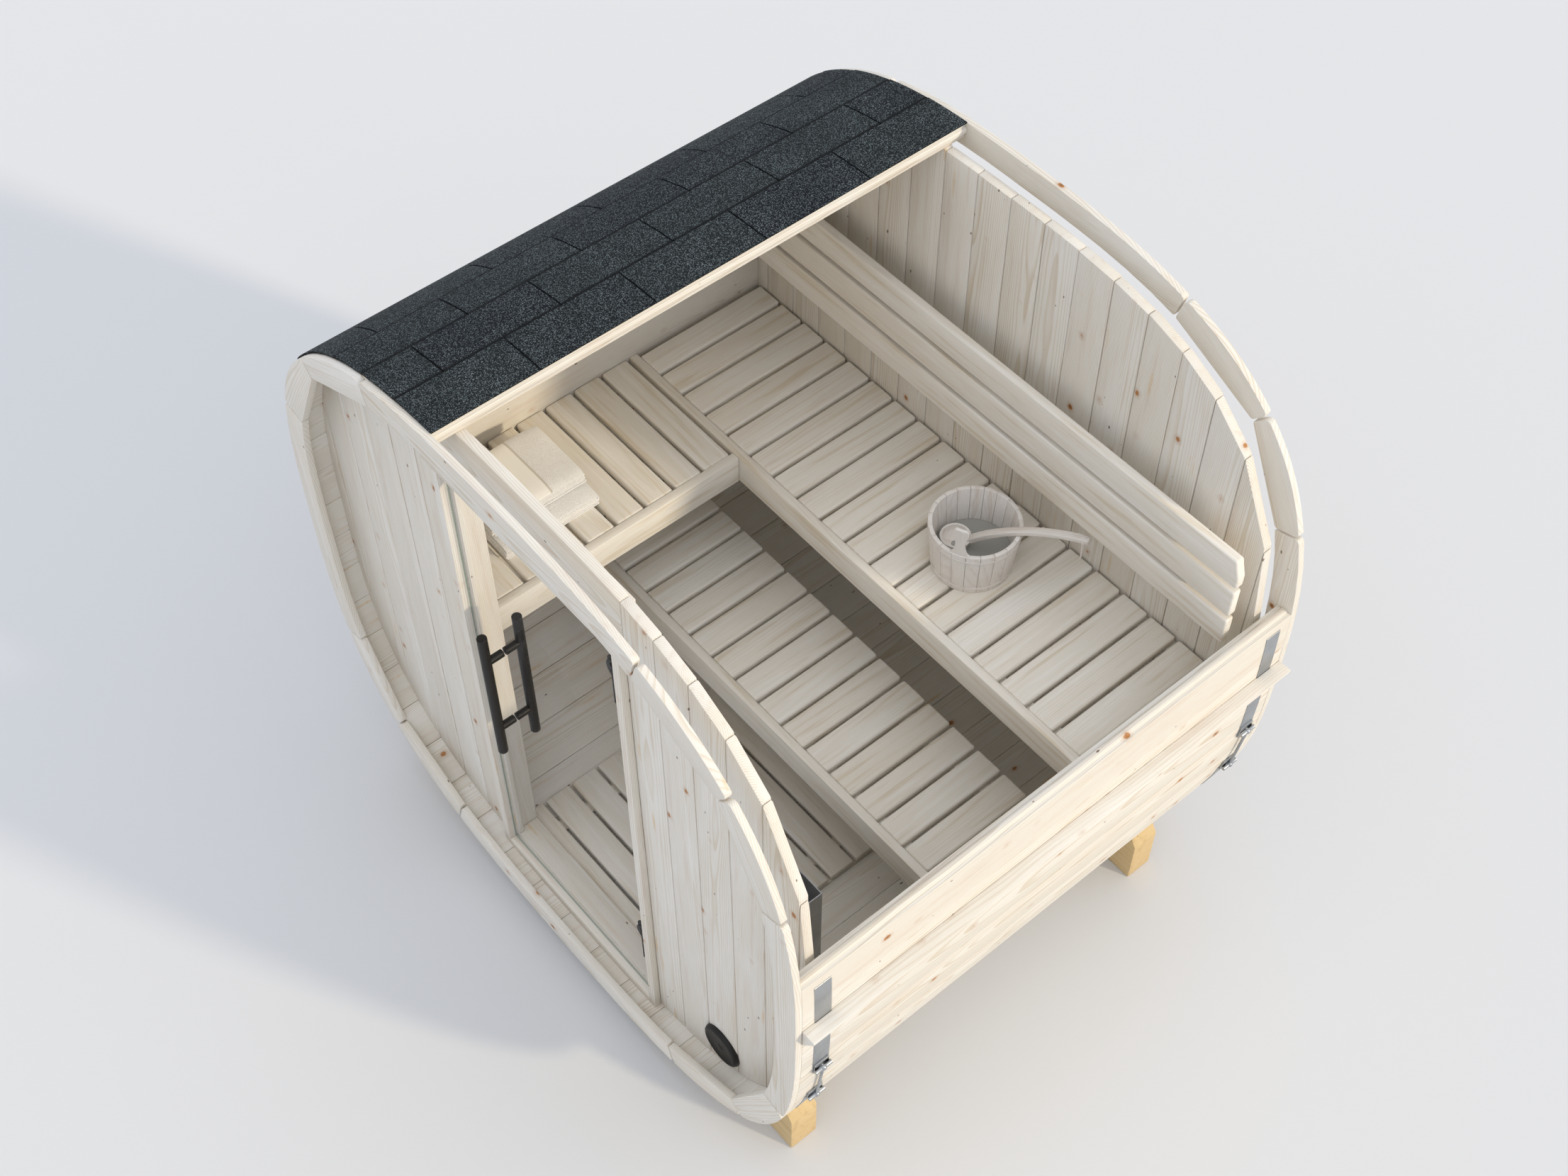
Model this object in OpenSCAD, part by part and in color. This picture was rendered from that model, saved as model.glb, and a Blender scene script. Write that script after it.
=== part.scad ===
// Barrel sauna with an open roof side, lengths in millimetres.
// X runs across the front, Y from the front to the back, Z up from the ground.

/* [Barrel] */
// Outer width of the stave shell
barrel_w = 2050; // [1900:10:2200]
// Outer height of the stave shell
barrel_h = 1980; // [1850:10:2100]
// Length of the staves
barrel_len = 1600; // [1500:10:2000]
// Power of the rounded-square outline, 2 is an ellipse
corner_power = 2.9; // [2.6:0.1:3.4]
// Thickness of the staves
stave_t = 45; // [36:1:55]
// Aimed width of one stave
stave_w = 140; // [110:5:180]
// Joint between two staves
stave_joint = 0.6; // [0.4:0.1:0.9]
// Distance of the roof's open edge from the middle, towards the left
roof_edge = 235; // [120:5:400]
// Height of the right side's open edge over the barrel's middle
side_edge = 240; // [180:5:320]
// Height of the barrel's lowest point over the ground
ground_gap = 70; // [60:1:100]

/* [Trim rings] */
// Thickness of the end trim rings
ring_t = 20; // [14:1:26]
// Width of the end trim rings
ring_w = 75; // [60:1:85]
// Width of the end trim rings at the mitre in a corner
ring_mitre_w = 56; // [48:1:75]
// Joint between two ring pieces
ring_joint = 0.6; // [0.4:0.1:0.9]
// Rounding of the free ring corners
ring_round = 14; // [6:1:20]
// Polar angle of the joint at a side piece
ring_side_angle = 26.5; // [22:0.5:32]
// Polar angle of the mitre in a corner
ring_mitre_angle = 44; // [38:0.5:50]
// Polar angle of the joint at a top piece
ring_top_angle = 61.5; // [56:0.5:66]

/* [Walls] */
// Thickness of the end walls
wall_t = 28; // [22:1:36]
// Depth of the front wall behind the stave ends
front_recess = 60; // [54:1:90]
// Depth of the back wall before the stave ends
back_recess = 42; // [30:1:80]

/* [Cradles] */
// Length of a cradle across the barrel
cradle_len = 1746; // [1600:2:1800]
// Thickness of a cradle along the barrel
cradle_t = 90; // [60:1:140]
// Height of a cradle's upright end
cradle_end_h = 165; // [120:5:180]
// Share of the barrel's width that a cradle carries
cradle_seat_share = 0.783; // [0.7:0.01:0.82]
// Distance of a cradle from the stave ends
cradle_inset = 100; // [90:1:250]

/* [Doorway] */
// Clear width between the door casings
door_w = 664; // [600:2:680]
// Height between the doorway's top and the roof's underside
head_room = 207; // [190:1:240]
// Height of the sill's top over the lowest floor
sill_rise = 60; // [50:1:80]
// Face width of a casing
casing_w = 26; // [20:1:40]
// How far a casing stands out of the wall
casing_t = 20; // [18:1:26]
// Face height of the head casing
head_h = 52; // [40:1:60]
// How far the head casing stands out of the wall
head_t = 20; // [16:1:26]
// How far the head casing reaches past the side casings
head_over = 38; // [0:1:44]
// Thickness of a jamb lining
lining_t = 24; // [20:1:32]
// How far the lining reaches into the room
lining_in = 50; // [20:1:60]
// Depth of the stop behind the glass
stop_d = 14; // [10:1:24]
// Width of the stop
stop_w = 14; // [10:1:20]

/* [Door] */
// Thickness of the door's glass
glass_t = 6; // [5:0.5:10]
// Running gap round the glass
door_gap = 6; // [5:0.5:8]
// Depth of the glass behind the casing's face
glass_set = 16; // [12:1:18]
// Length of the pull bars
handle_len = 500; // [400:2:700]
// Diameter of the pull bars
handle_d = 27; // [20:1:36]
// Distance between the pull bars' axes
handle_span = 105; // [90:1:120]
// Distance between the standoffs
handle_pitch = 292; // [200:2:400]
// Distance of the pull bars from the doorway's middle
handle_x = 197; // [150:1:230]
// Height of the pull bars' middle over the barrel's middle
handle_z = 14; // [-100:2:100]
// Height of the round clamp of a hinge
hinge_h = 70; // [56:1:76]
// Height of a hinge's leaf under its clamp
hinge_leaf_h = 72; // [50:2:90]
// Distance of the upper hinge's middle from the doorway's top
hinge_top_in = 96; // [84:2:250]
// Distance of the lower hinge's middle from the sill's top
hinge_low_in = 313; // [120:1:340]

/* [Benches] */
// Width of a bench slat
slat_w = 91; // [70:1:110]
// Gap between slats
slat_gap = 11; // [8:0.5:16]
// Thickness of a slat
slat_t = 27; // [20:1:32]
// Thickness of a bench beam
beam_t = 28; // [22:1:36]
// Height of a bench beam
beam_h = 100; // [85:1:120]
// Width of the ledgers under the slats
ledger_w = 40; // [30:1:50]
// Height of the ledgers under the slats
ledger_h = 45; // [30:1:55]
// Depth of the upper bench's top under the barrel's middle
upper_drop = 65; // [20:5:120]
// Depth of the upper bench from the back wall
upper_depth = 494; // [440:2:540]
// Distance of the left bench's edge from the middle
left_edge = 468; // [440:2:560]
// Depth of the lower bench's top under the barrel's middle
lower_drop = 450; // [400:5:500]
// Distance of the lower bench from the front wall
lower_start = 592; // [540:2:640]
// Depth of the lower bench
lower_depth = 397; // [340:2:440]

/* [Backrest] */
// Height of a backrest rail
rail_h = 92; // [70:1:100]
// Thickness of a backrest rail
rail_t = 28; // [20:1:36]
// Gap between backrest rails
rail_gap = 18; // [10:1:30]
// Height of the top rail's top over the barrel's middle
rail_top = 490; // [440:5:540]
// Clearance between a rail's end and the side staves
rail_clear = 35; // [8:1:50]
// Depth of the brackets that carry the rails
bracket_d = 67; // [40:1:80]
// Width of a bracket
bracket_w = 45; // [30:1:60]

/* [Duckboard] */
// Width of the duckboard
duck_w = 740; // [600:5:800]
// Width of a duckboard slat
duck_slat_w = 85; // [60:1:100]
// Width of the duckboard's first slat
duck_first_w = 46; // [30:1:100]
// Gap between duckboard slats
duck_gap = 11; // [6:0.5:16]
// Thickness of a duckboard slat
duck_t = 20; // [16:1:26]
// Height of the runners over the lowest floor
runner_h = 22; // [20:1:40]
// Number of duckboard slats
duck_slats = 8; // [5:1:9]

/* [Heater] */
// Width of the heater
heater_w = 292; // [240:2:300]
// Depth of the heater
heater_d = 270; // [220:2:320]
// Height of the heater
heater_h = 540; // [400:5:560]
// Thickness of the heater's sheet
heater_sheet = 3; // [2:0.5:5]
// Height of the heater's foot over the floor beside it
heater_rise = 86; // [76:2:160]
// Distance of the heater from the door's lining
heater_in = 36; // [20:1:60]
// Depth of the stone well in the heater
heater_well = 260; // [150:5:350]

/* [Fittings] */
// Diameter of the vent cover
vent_d = 136; // [110:2:160]
// Thickness of the vent cover
vent_t = 14; // [8:1:20]
// Width of a steel strap
strap_w = 50; // [36:1:60]
// Thickness of a steel strap
strap_t = 1.4; // [1:0.1:2]
// Distance of a strap's middle from the stave end
strap_inset = 61; // [50:1:70]
// Height of a strap's upper end over the barrel's middle
strap_top = 206; // [150:2:220]
// Width of the side batten's top
batten_w = 40; // [25:1:50]
// Height of the side batten
batten_h = 70; // [50:1:90]
// Height of the side batten's top over the barrel's middle
batten_z = 45; // [20:5:70]
// Thickness of the roof covering
shingle_t = 6; // [5:0.5:8]

/* [Bucket and towels] */
// Outer diameter of the bucket's rim
bucket_d = 255; // [220:5:280]
// Outer diameter of the bucket's base
bucket_base_d = 224; // [200:2:240]
// Height of the bucket's rim
bucket_h = 165; // [150:5:240]
// Thickness of the bucket's wall
bucket_wall = 12; // [8:1:18]
// Height of the raised grip over the rim
grip_h = 100; // [50:5:130]
// Width of the raised grip
grip_w = 46; // [36:1:60]
// Length of the ladle's handle outside the bucket's wall
ladle_len = 200; // [150:5:240]
// Width of the ladle's handle
ladle_w = 22; // [16:1:28]
// Thickness of the ladle's handle
ladle_t = 14; // [10:1:18]
// Outer diameter of the ladle's bowl
ladle_bowl_d = 86; // [70:2:92]
// Length of a folded towel
towel_len = 330; // [280:5:360]
// Width of the lower folded towel
towel_w = 295; // [250:5:320]
// Width of the upper folded towel
towel_top_w = 240; // [200:5:260]
// Thickness of a folded towel
towel_t = 48; // [30:1:60]

/* [Hidden] */

$fn = 48;
// Gap between pieces that seat on each other
fit_gap = 0.3;
// Overrun of a cut past the face that it opens
overrun = 10;
half_w = barrel_w / 2;
half_h = barrel_h / 2;
barrel_z = half_h + ground_gap;
cradle_seat = cradle_seat_share * half_w;
front_end = -barrel_len / 2;
back_end = barrel_len / 2;
front_out = front_end + front_recess;
front_in = front_out + wall_t;
back_out = back_end - back_recess;
back_in = back_out - wall_t;
casing_face = front_out - casing_t;
lining_end = front_in + lining_in;
floor_low = half_h - stave_t;
door_top = floor_low - head_room;
sill_drop = floor_low - sill_rise;
door_half = door_w / 2;
lining_out = door_half + lining_t;
full_turn = 360;

spruce = "#e9dfcf";
bench_wood = "#d9c7a8";
cradle_wood = "#cfa76b";
steel = "#a9acb0";
dark_metal = "#2e2c2a";
roof_grey = "#22262c";

// Outline of the barrel

// Distance of the outer shell from the barrel's middle at a polar angle
function shell_r(angle) =
    pow(pow(abs(cos(angle)) / half_w, corner_power) + pow(abs(sin(angle)) / half_h, corner_power),
        -1 / corner_power);

// Outward direction of the shell at a polar angle
function shell_normal(angle) =
    let (slope_x = sign(cos(angle)) * pow(abs(cos(angle)) / half_w, corner_power - 1) / half_w,
         slope_z = sign(sin(angle)) * pow(abs(sin(angle)) / half_h, corner_power - 1) / half_h)
    [slope_x, slope_z] / norm([slope_x, slope_z]);

// Point of the shell at a polar angle, moved inwards by inset
function shell_pt(angle, inset) =
    shell_r(angle) * [cos(angle), sin(angle)] - inset * shell_normal(angle);

// Width of the outline at a height over the middle, and height at a distance from the middle
function shell_x(z) = half_w * pow(1 - pow(abs(z) / half_h, corner_power), 1 / corner_power);
function shell_z(x) = half_h * pow(1 - pow(abs(x) / half_w, corner_power), 1 / corner_power);
function side_angle(z) = atan2(z, shell_x(z));

// The staves run clockwise from the right side's open edge to the roof's open edge
first_angle = side_angle(side_edge);
last_angle = atan2(shell_z(roof_edge), -roof_edge) - full_turn;
arc_steps = 360;
function arc_angle(i) = first_angle + (last_angle - first_angle) * i / arc_steps;
function arc_step(i) = norm(shell_pt(arc_angle(i + 1), 0) - shell_pt(arc_angle(i), 0));
arc_table = [for (i = 0, s = 0; i <= arc_steps; s = s + arc_step(i), i = i + 1) [s, arc_angle(i)]];
arc_len = arc_table[arc_steps][0];
stave_count = round(arc_len / stave_w);
stave_pitch = arc_len / stave_count;
function stave_angle(s) = lookup(s, arc_table);

// Smallest turn between two corners of an outline
least_turn_share = 0.01;
least_turn = least_turn_share * full_turn / stave_count;

// Angles at every joint and middle of the staves, then across the open side
open_count = round((full_turn + last_angle - first_angle) / (first_angle - last_angle) * stave_count);
kept_angles = [for (i = [0 : 2 * stave_count]) stave_angle(i * stave_pitch / 2)];
open_angles = [for (i = [1 : 2 * open_count - 1])
    last_angle + (first_angle - full_turn - last_angle) * i / (2 * open_count)];
all_angles = concat(kept_angles, open_angles);

// Numbers of the first stave in each group
group_shares = [0, 0.075, 0.215, 0.475, 0.62, 0.765, 0.915, 1];
function group_first(i) = round(group_shares[i] * stave_count);

module along_y(y0, y1) {
    translate([0, y1, barrel_z])
        rotate([90, 0, 0])
            linear_extrude(height = y1 - y0)
                children();
}

module block(x0, x1, y0, y1, z0, z1) {
    translate([x0, y0, barrel_z + z0])
        cube([x1 - x0, y1 - y0, z1 - z0]);
}

// Space inside the staves, with a seating gap
module room(y0, y1) {
    along_y(y0, y1)
        polygon([for (a = all_angles) shell_pt(a, stave_t + fit_gap)]);
}

module in_room(y0, y1) {
    intersection() {
        room(y0, y1);
        children();
    }
}

// Band on the shell between two insets, over a list of angles
module shell_band(angles, outer, inner) {
    polygon(concat([for (a = angles) shell_pt(a, outer)],
                   [for (i = [len(angles) - 1 : -1 : 0]) shell_pt(angles[i], inner)]));
}

// Staves

module stave(i) {
    from = i * stave_pitch + stave_joint / 2;
    to = (i + 1) * stave_pitch - stave_joint / 2;
    angles = [stave_angle(from), stave_angle((from + to) / 2), stave_angle(to)];
    along_y(front_end, back_end)
        shell_band(angles, 0, stave_t);
}

module stave_group(g) {
    color(spruce)
        for (i = [group_first(g) : group_first(g + 1) - 1])
            stave(i);
}

module right_side_staves() { stave_group(0); }
module right_corner_staves() { stave_group(1); }
module floor_staves() { stave_group(2); }
module left_corner_staves() { stave_group(3); }
module left_side_staves() { stave_group(4); }
module left_shoulder_staves() { stave_group(5); }
module roof_staves() { stave_group(6); }

// Roof covering on the left, from the open edge down to the batten, grooved over the straps
batten_top_angle = side_angle(batten_z);
roof_start = -full_turn / 2 - batten_top_angle - (1 - batten_z / (batten_z + fit_gap)) * batten_top_angle;
roof_angles = [for (a = kept_angles) if (a < roof_start - least_turn) a];

module roof_shingles() {
    angles = concat([roof_start], roof_angles);
    color(roof_grey)
        difference() {
            along_y(front_end, back_end)
                shell_band(angles, -fit_gap - shingle_t, -fit_gap);
            for (side = [-1, 1])
                translate([0, side * strap_y, 0])
                    along_y(-strap_w / 2 - fit_gap, strap_w / 2 + fit_gap)
                        shell_band(kept_angles, -3 * fit_gap - strap_t, stave_t);
        }
}

// End walls

module wall_plate(y0, y1) {
    color(spruce)
        room(y0, y1);
}

wall_edge = lining_out + fit_gap;

module front_wall_side(x0, x1) {
    intersection() {
        wall_plate(front_out, front_in);
        block(x0, x1, front_out - overrun, front_in + overrun, -half_h, half_h);
    }
}

module front_wall_left() { front_wall_side(-half_w, -wall_edge); }
module front_wall_right() { front_wall_side(wall_edge, half_w); }

head_top = door_top + head_h;

module front_wall_header() {
    intersection() {
        wall_plate(front_out, front_in);
        block(-lining_out, lining_out, front_out - overrun, front_in + overrun, head_top + fit_gap, half_h);
    }
}

module back_wall() { wall_plate(back_in, back_out); }

// Trim rings, twelve pieces with rounded outer corners

ring_joints = [ring_side_angle, ring_mitre_angle, ring_top_angle,
    180 - ring_top_angle, 180 - ring_mitre_angle, 180 - ring_side_angle,
    180 + ring_side_angle, 180 + ring_mitre_angle, 180 + ring_top_angle,
    full_turn - ring_top_angle, full_turn - ring_mitre_angle, full_turn - ring_side_angle,
    full_turn + ring_side_angle];
ring_steps = 12;
function ring_width(i) = i % 3 == 1 ? ring_mitre_w : ring_w;

// Piece between two joint angles, w0 and w1 wide at its ends, with a straight inner edge in a corner
module ring_piece(a0, a1, w0, w1) {
    r = shell_r(a0);
    trim = ring_joint / 2 / r * full_turn / (2 * PI);
    bend = ring_round / r * full_turn / (2 * PI);
    from = a0 + trim;
    to = a1 - trim;
    inner_steps = w0 == w1 ? ring_steps : 1;
    middle = [for (i = [0 : ring_steps]) from + bend + (to - from - 2 * bend) * i / ring_steps];
    corner_share = 0.3;
    polygon(concat(
        [shell_pt(from, ring_round)],
        [shell_pt(from + corner_share * bend, corner_share * ring_round)],
        [for (a = middle) shell_pt(a, 0)],
        [shell_pt(to - corner_share * bend, corner_share * ring_round)],
        [shell_pt(to, ring_round)],
        [for (i = [inner_steps : -1 : 0])
            shell_pt(from + (to - from) * i / inner_steps, w0 + (w1 - w0) * i / inner_steps)]));
}

module ring(y0, y1) {
    color(spruce)
        for (i = [0 : len(ring_joints) - 2])
            along_y(y0, y1)
                ring_piece(ring_joints[i], ring_joints[i + 1], ring_width(i), ring_width(i + 1));
}

module front_ring() { ring(front_end - ring_t, front_end); }
module back_ring() { ring(back_end, back_end + ring_t); }

// Cradles, beams cut to the barrel's underside

seat_from = -atan2(shell_z(cradle_seat), cradle_seat);
seat_angles = concat([seat_from],
    [for (a = kept_angles) if (a < seat_from - least_turn && a > least_turn - 180 - seat_from) a],
    [-180 - seat_from]);

module cradle(y0) {
    ends = [[cradle_len / 2, cradle_end_h - barrel_z], [cradle_len / 2, -barrel_z],
            [-cradle_len / 2, -barrel_z], [-cradle_len / 2, cradle_end_h - barrel_z]];
    seat = [for (i = [len(seat_angles) - 1 : -1 : 0]) shell_pt(seat_angles[i], -fit_gap)];
    color(cradle_wood)
        along_y(y0, y0 + cradle_t)
            polygon(concat(ends, seat));
}

module cradle_front() { cradle(front_end + cradle_inset); }
module cradle_back() { cradle(back_end - cradle_inset - cradle_t); }

// Side battens, notched over the straps

strap_y = back_end - strap_inset;

module batten_bar() {
    top = shell_x(batten_z) + fit_gap;
    lip_share = 0.12;
    along_y(front_end, back_end)
        polygon([[top, batten_z], [top + batten_w, batten_z],
                 [top + batten_w, batten_z - lip_share * batten_h],
                 [half_w + fit_gap, batten_z - batten_h]]);
}

module off_shell() {
    color(spruce)
        difference() {
            children();
            for (end = [-1, 1])
                translate([0, end * strap_y, 0])
                    along_y(-strap_w / 2 - fit_gap, strap_w / 2 + fit_gap)
                        shell_band(kept_angles, -3 * fit_gap - strap_t, stave_t);
            along_y(front_end - overrun, back_end + overrun)
                shell_band(kept_angles, -fit_gap, stave_t);
        }
}

module batten_right() { off_shell() batten_bar(); }
module batten_left() { off_shell() mirror([1, 0, 0]) batten_bar(); }

// Steel straps round the barrel, drawn tight on the right side

tension_up = 235;
tension_low = 375;
strap_start = side_angle(strap_top);
strap_stop = -side_angle(tension_up);
strap_again = -side_angle(tension_low);

module strap_run(a0, a1) {
    angles = concat([a0], [for (a = kept_angles) if (a < a0 - least_turn && a > a1 + least_turn) a], [a1]);
    shell_band(angles, -fit_gap - strap_t, -fit_gap);
}

module strap(y) {
    color(steel)
        along_y(y - strap_w / 2, y + strap_w / 2) {
            strap_run(strap_start, strap_stop);
            strap_run(strap_again, last_angle);
        }
}

module strap_front() { strap(-strap_y); }
module strap_back() { strap(strap_y); }

// Tensioner: two lugs on the strap, a pin in each and one draw bolt

lug_t = 4;
lug_len = 46;
lug_inset = 6;
pin_d = 12;
bolt_d = 8;
nut_d = 18;
strap_out = -2 * fit_gap - strap_t;
pin_up = shell_pt(-side_angle(tension_up - lug_len / 2), strap_out - lug_t - pin_d / 2);
pin_low = shell_pt(-side_angle(tension_low + lug_len / 2), strap_out - lug_t - pin_d / 2);
draw_len = norm(pin_up - pin_low);
draw_turn = atan2(pin_up[0] - pin_low[0], pin_up[1] - pin_low[1]);

module lug(z0, z1) {
    lug_w = strap_w - lug_inset;
    angles = [-side_angle(z0), -side_angle((z0 + z1) / 2), -side_angle(z1)];
    along_y(-lug_w / 2, lug_w / 2)
        shell_band(angles, strap_out - lug_t, strap_out);
}

module tensioner() {
    lug(tension_up - lug_len, tension_up);
    lug(tension_low, tension_low + lug_len);
    for (pin = [pin_up, pin_low])
        translate([pin[0], 0, barrel_z + pin[1]]) {
            rotate([90, 0, 0])
                cylinder(h = strap_w, d = pin_d, center = true);
            sphere(d = nut_d);
        }
    translate([pin_low[0], 0, barrel_z + pin_low[1]])
        rotate([0, draw_turn, 0])
            cylinder(h = draw_len, d = bolt_d);
}

module strap_tensioners() {
    color(steel)
        for (end = [-1, 1])
            translate([0, end * strap_y, 0])
                tensioner();
}

// Door frame: jambs, head and sill with casing, lining and stop

glass_front = casing_face + glass_set;
glass_back = glass_front + glass_t;
stop_front = glass_back + door_gap - fit_gap;

module jamb_outline() {
    casing_out = door_half + casing_w;
    polygon([[door_half, casing_face], [casing_out, casing_face], [casing_out, front_out - fit_gap],
             [lining_out, front_out - fit_gap], [lining_out, lining_end], [door_half, lining_end],
             [door_half, stop_front + stop_d], [door_half - stop_w, stop_front + stop_d],
             [door_half - stop_w, stop_front], [door_half, stop_front]]);
}

module jamb_post() {
    translate([0, 0, barrel_z - half_h])
        linear_extrude(height = half_h + door_top - fit_gap)
            jamb_outline();
}

module door_jamb_right() {
    color(spruce)
        in_room(casing_face - overrun, lining_end + overrun)
            jamb_post();
}

module door_jamb_left() {
    color(spruce)
        in_room(casing_face - overrun, lining_end + overrun)
            mirror([1, 0, 0])
                jamb_post();
}

head_reach = door_half + casing_w + head_over;

module door_head() {
    inner_t_share = 0.5;
    inner_top = shell_z(lining_out) - stave_t - beam_t;
    color(spruce) {
        block(-head_reach, head_reach, front_out - head_t, front_out - fit_gap, door_top, head_top);
        block(-lining_out, lining_out, front_out - fit_gap, front_in + fit_gap, door_top, head_top);
        block(-lining_out, lining_out, front_in + fit_gap, front_in + inner_t_share * wall_t, door_top, inner_top);
        block(-door_half + stop_w + fit_gap, door_half - stop_w - fit_gap, stop_front,
            stop_front + stop_d, door_top - stop_w, door_top);
    }
}

module door_sill() {
    inside = door_half - stop_w - fit_gap;
    between = door_half - fit_gap;
    lip_drop = sill_drop + 2 * door_gap + lining_t / 4;
    color(spruce)
        in_room(casing_face - overrun, lining_end + overrun) {
            block(-between, between, casing_face, stop_front - fit_gap, -half_h, -lip_drop);
            block(-inside, inside, stop_front - fit_gap, stop_front + stop_d + fit_gap, -half_h, -sill_drop);
            block(-between, between, stop_front + stop_d + fit_gap, lining_end, -half_h, -sill_drop);
        }
}

// Glass door that swings outwards on the right jamb

hinge_r = 6;
hinge_pin_r = 3;
pin_play = 0.05;
hinge_up = door_top - hinge_top_in;
hinge_down = sill_drop - hinge_low_in;
plate_t = 2.2;
leaf_t = 3;
hinge_x = door_half - fit_gap - plate_t - hinge_r;
hinge_y = glass_front - leaf_t / 2 - hinge_r;
glass_right = door_half - door_gap - leaf_t;
glass_left = door_half - door_gap;
glass_low = sill_drop + door_gap + leaf_t;
glass_top = door_top - door_gap;

module door_glass() {
    color("#cfe3e6", 0.35)
        block(-glass_left, glass_right, glass_front, glass_back, -glass_low, glass_top);
}

module door_handle() {
    glass_mid = (glass_front + glass_back) / 2;
    standoff_share = 0.84;
    color(dark_metal)
        for (face = [-1, 1]) {
            bar_y = glass_mid + face * handle_span / 2;
            translate([-handle_x, bar_y, barrel_z + handle_z - handle_len / 2])
                cylinder(h = handle_len, d = handle_d);
            for (end = [-1, 1])
                translate([-handle_x, glass_mid + face * glass_t / 2, barrel_z + handle_z + end * handle_pitch / 2])
                    rotate([-face * 90, 0, 0])
                        cylinder(h = (handle_span - glass_t) / 2, d = standoff_share * handle_d);
        }
}

module hinge_heights() {
    for (z = [hinge_up, -hinge_down])
        translate([0, 0, barrel_z + z])
            children();
}

module clamp_plate(x, y) {
    translate([x, y + leaf_t, 0])
        rotate([90, 0, 0])
            linear_extrude(height = leaf_t)
                intersection() {
                    circle(d = hinge_h);
                    translate([-hinge_h, -hinge_h / 2])
                        square([hinge_h, hinge_h]);
                }
}

// Door side: barrel and the two half-round plates that clamp the glass
module door_hinges() {
    color(dark_metal)
        hinge_heights() {
            translate([hinge_x, hinge_y, -hinge_h / 2])
                difference() {
                    cylinder(h = hinge_h, r = hinge_r);
                    translate([0, 0, -overrun])
                        cylinder(h = hinge_h + 2 * overrun, r = hinge_pin_r + pin_play);
                }
            clamp_plate(hinge_x, glass_front - leaf_t);
            clamp_plate(door_half - stop_w - leaf_t, glass_back);
        }
}

// Frame side: leaf on the lining under the clamp, with the pin
module hinge_plates() {
    foot = -hinge_h / 2 - fit_gap - hinge_leaf_h;
    color(dark_metal)
        hinge_heights() {
            translate([hinge_x, hinge_y, foot]) {
                cylinder(h = hinge_leaf_h, r = hinge_r);
                cylinder(h = hinge_leaf_h + fit_gap + hinge_h, r = hinge_pin_r);
                translate([0, -hinge_r / 2, 0])
                    cube([hinge_r + plate_t / 2, hinge_r, hinge_leaf_h]);
            }
            translate([hinge_x + hinge_r, hinge_y - hinge_r, foot])
                cube([plate_t, stop_front - fit_gap - hinge_y + hinge_r, hinge_leaf_h]);
        }
}

// Vent cover, a flat round cap on the front wall
vent_in = 340;
vent_rise = 118;
vent_x = half_w - stave_t - vent_in;
vent_drop = shell_z(vent_x) - stave_t - vent_rise;
vent_lip_share = 0.3;

module vent_cover() {
    color("#1f2024")
        translate([vent_x, front_out - fit_gap, barrel_z - vent_drop])
            rotate([90, 0, 0])
                rotate_extrude()
                    polygon([[0, 0], [vent_d / 2, 0], [vent_d / 2, vent_lip_share * vent_t],
                             [vent_d / 2 - vent_lip_share * vent_t, vent_t], [0, vent_t]]);
}

// Benches

slat_pitch = slat_w + slat_gap;
upper_face = back_in - upper_depth;
lower_face = front_in + lower_start;
wall_play = 5;

// Slats along Y side by side in X, as many as fit between the side walls
module slats_across(y0, y1, top) {
    span = 2 * (shell_x(top - slat_t) - stave_t - slat_gap / 2);
    count = floor((span + slat_gap) / slat_pitch);
    start = -(count * slat_pitch - slat_gap) / 2;
    color(bench_wood)
        for (i = [0 : count - 1])
            block(start + i * slat_pitch, start + i * slat_pitch + slat_w, y0, y1, top - slat_t, top);
}

module beam_across(y0, top) {
    color(bench_wood)
        in_room(y0, y0 + beam_t)
            block(-half_w, half_w, y0 - overrun, y0 + beam_t + overrun, top - beam_h, top);
}

module upper_bench_beam() { beam_across(upper_face, -upper_drop); }

module upper_bench_slats() {
    slats_across(upper_face + beam_t + fit_gap, back_in - wall_play, -upper_drop);
}

module lower_bench_beam() { beam_across(lower_face, -lower_drop); }

module lower_bench_slats() {
    slats_across(lower_face + beam_t + fit_gap, lower_face + lower_depth, -lower_drop);
}

left_in = left_edge + beam_t;

module left_bench_beam() {
    color(bench_wood)
        block(-left_in, -left_edge, front_in + fit_gap, upper_face - fit_gap, -upper_drop - beam_h, -upper_drop);
}

module left_bench_slats() {
    from = upper_face - slat_gap;
    count = floor((from - front_in) / slat_pitch);
    color(bench_wood)
        in_room(front_in, upper_face)
            for (i = [0 : count - 1])
                block(-half_w, -left_in - fit_gap, from - i * slat_pitch - slat_w, from - i * slat_pitch,
                    -upper_drop - slat_t, -upper_drop);
}

// Ledgers that carry the slats, fixed to the walls and beams
module ledger(x0, x1, y0, y1, top) {
    in_room(front_in, back_in)
        block(x0, x1, y0, y1, top - slat_t - fit_gap - ledger_h, top - slat_t - fit_gap);
}

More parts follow.
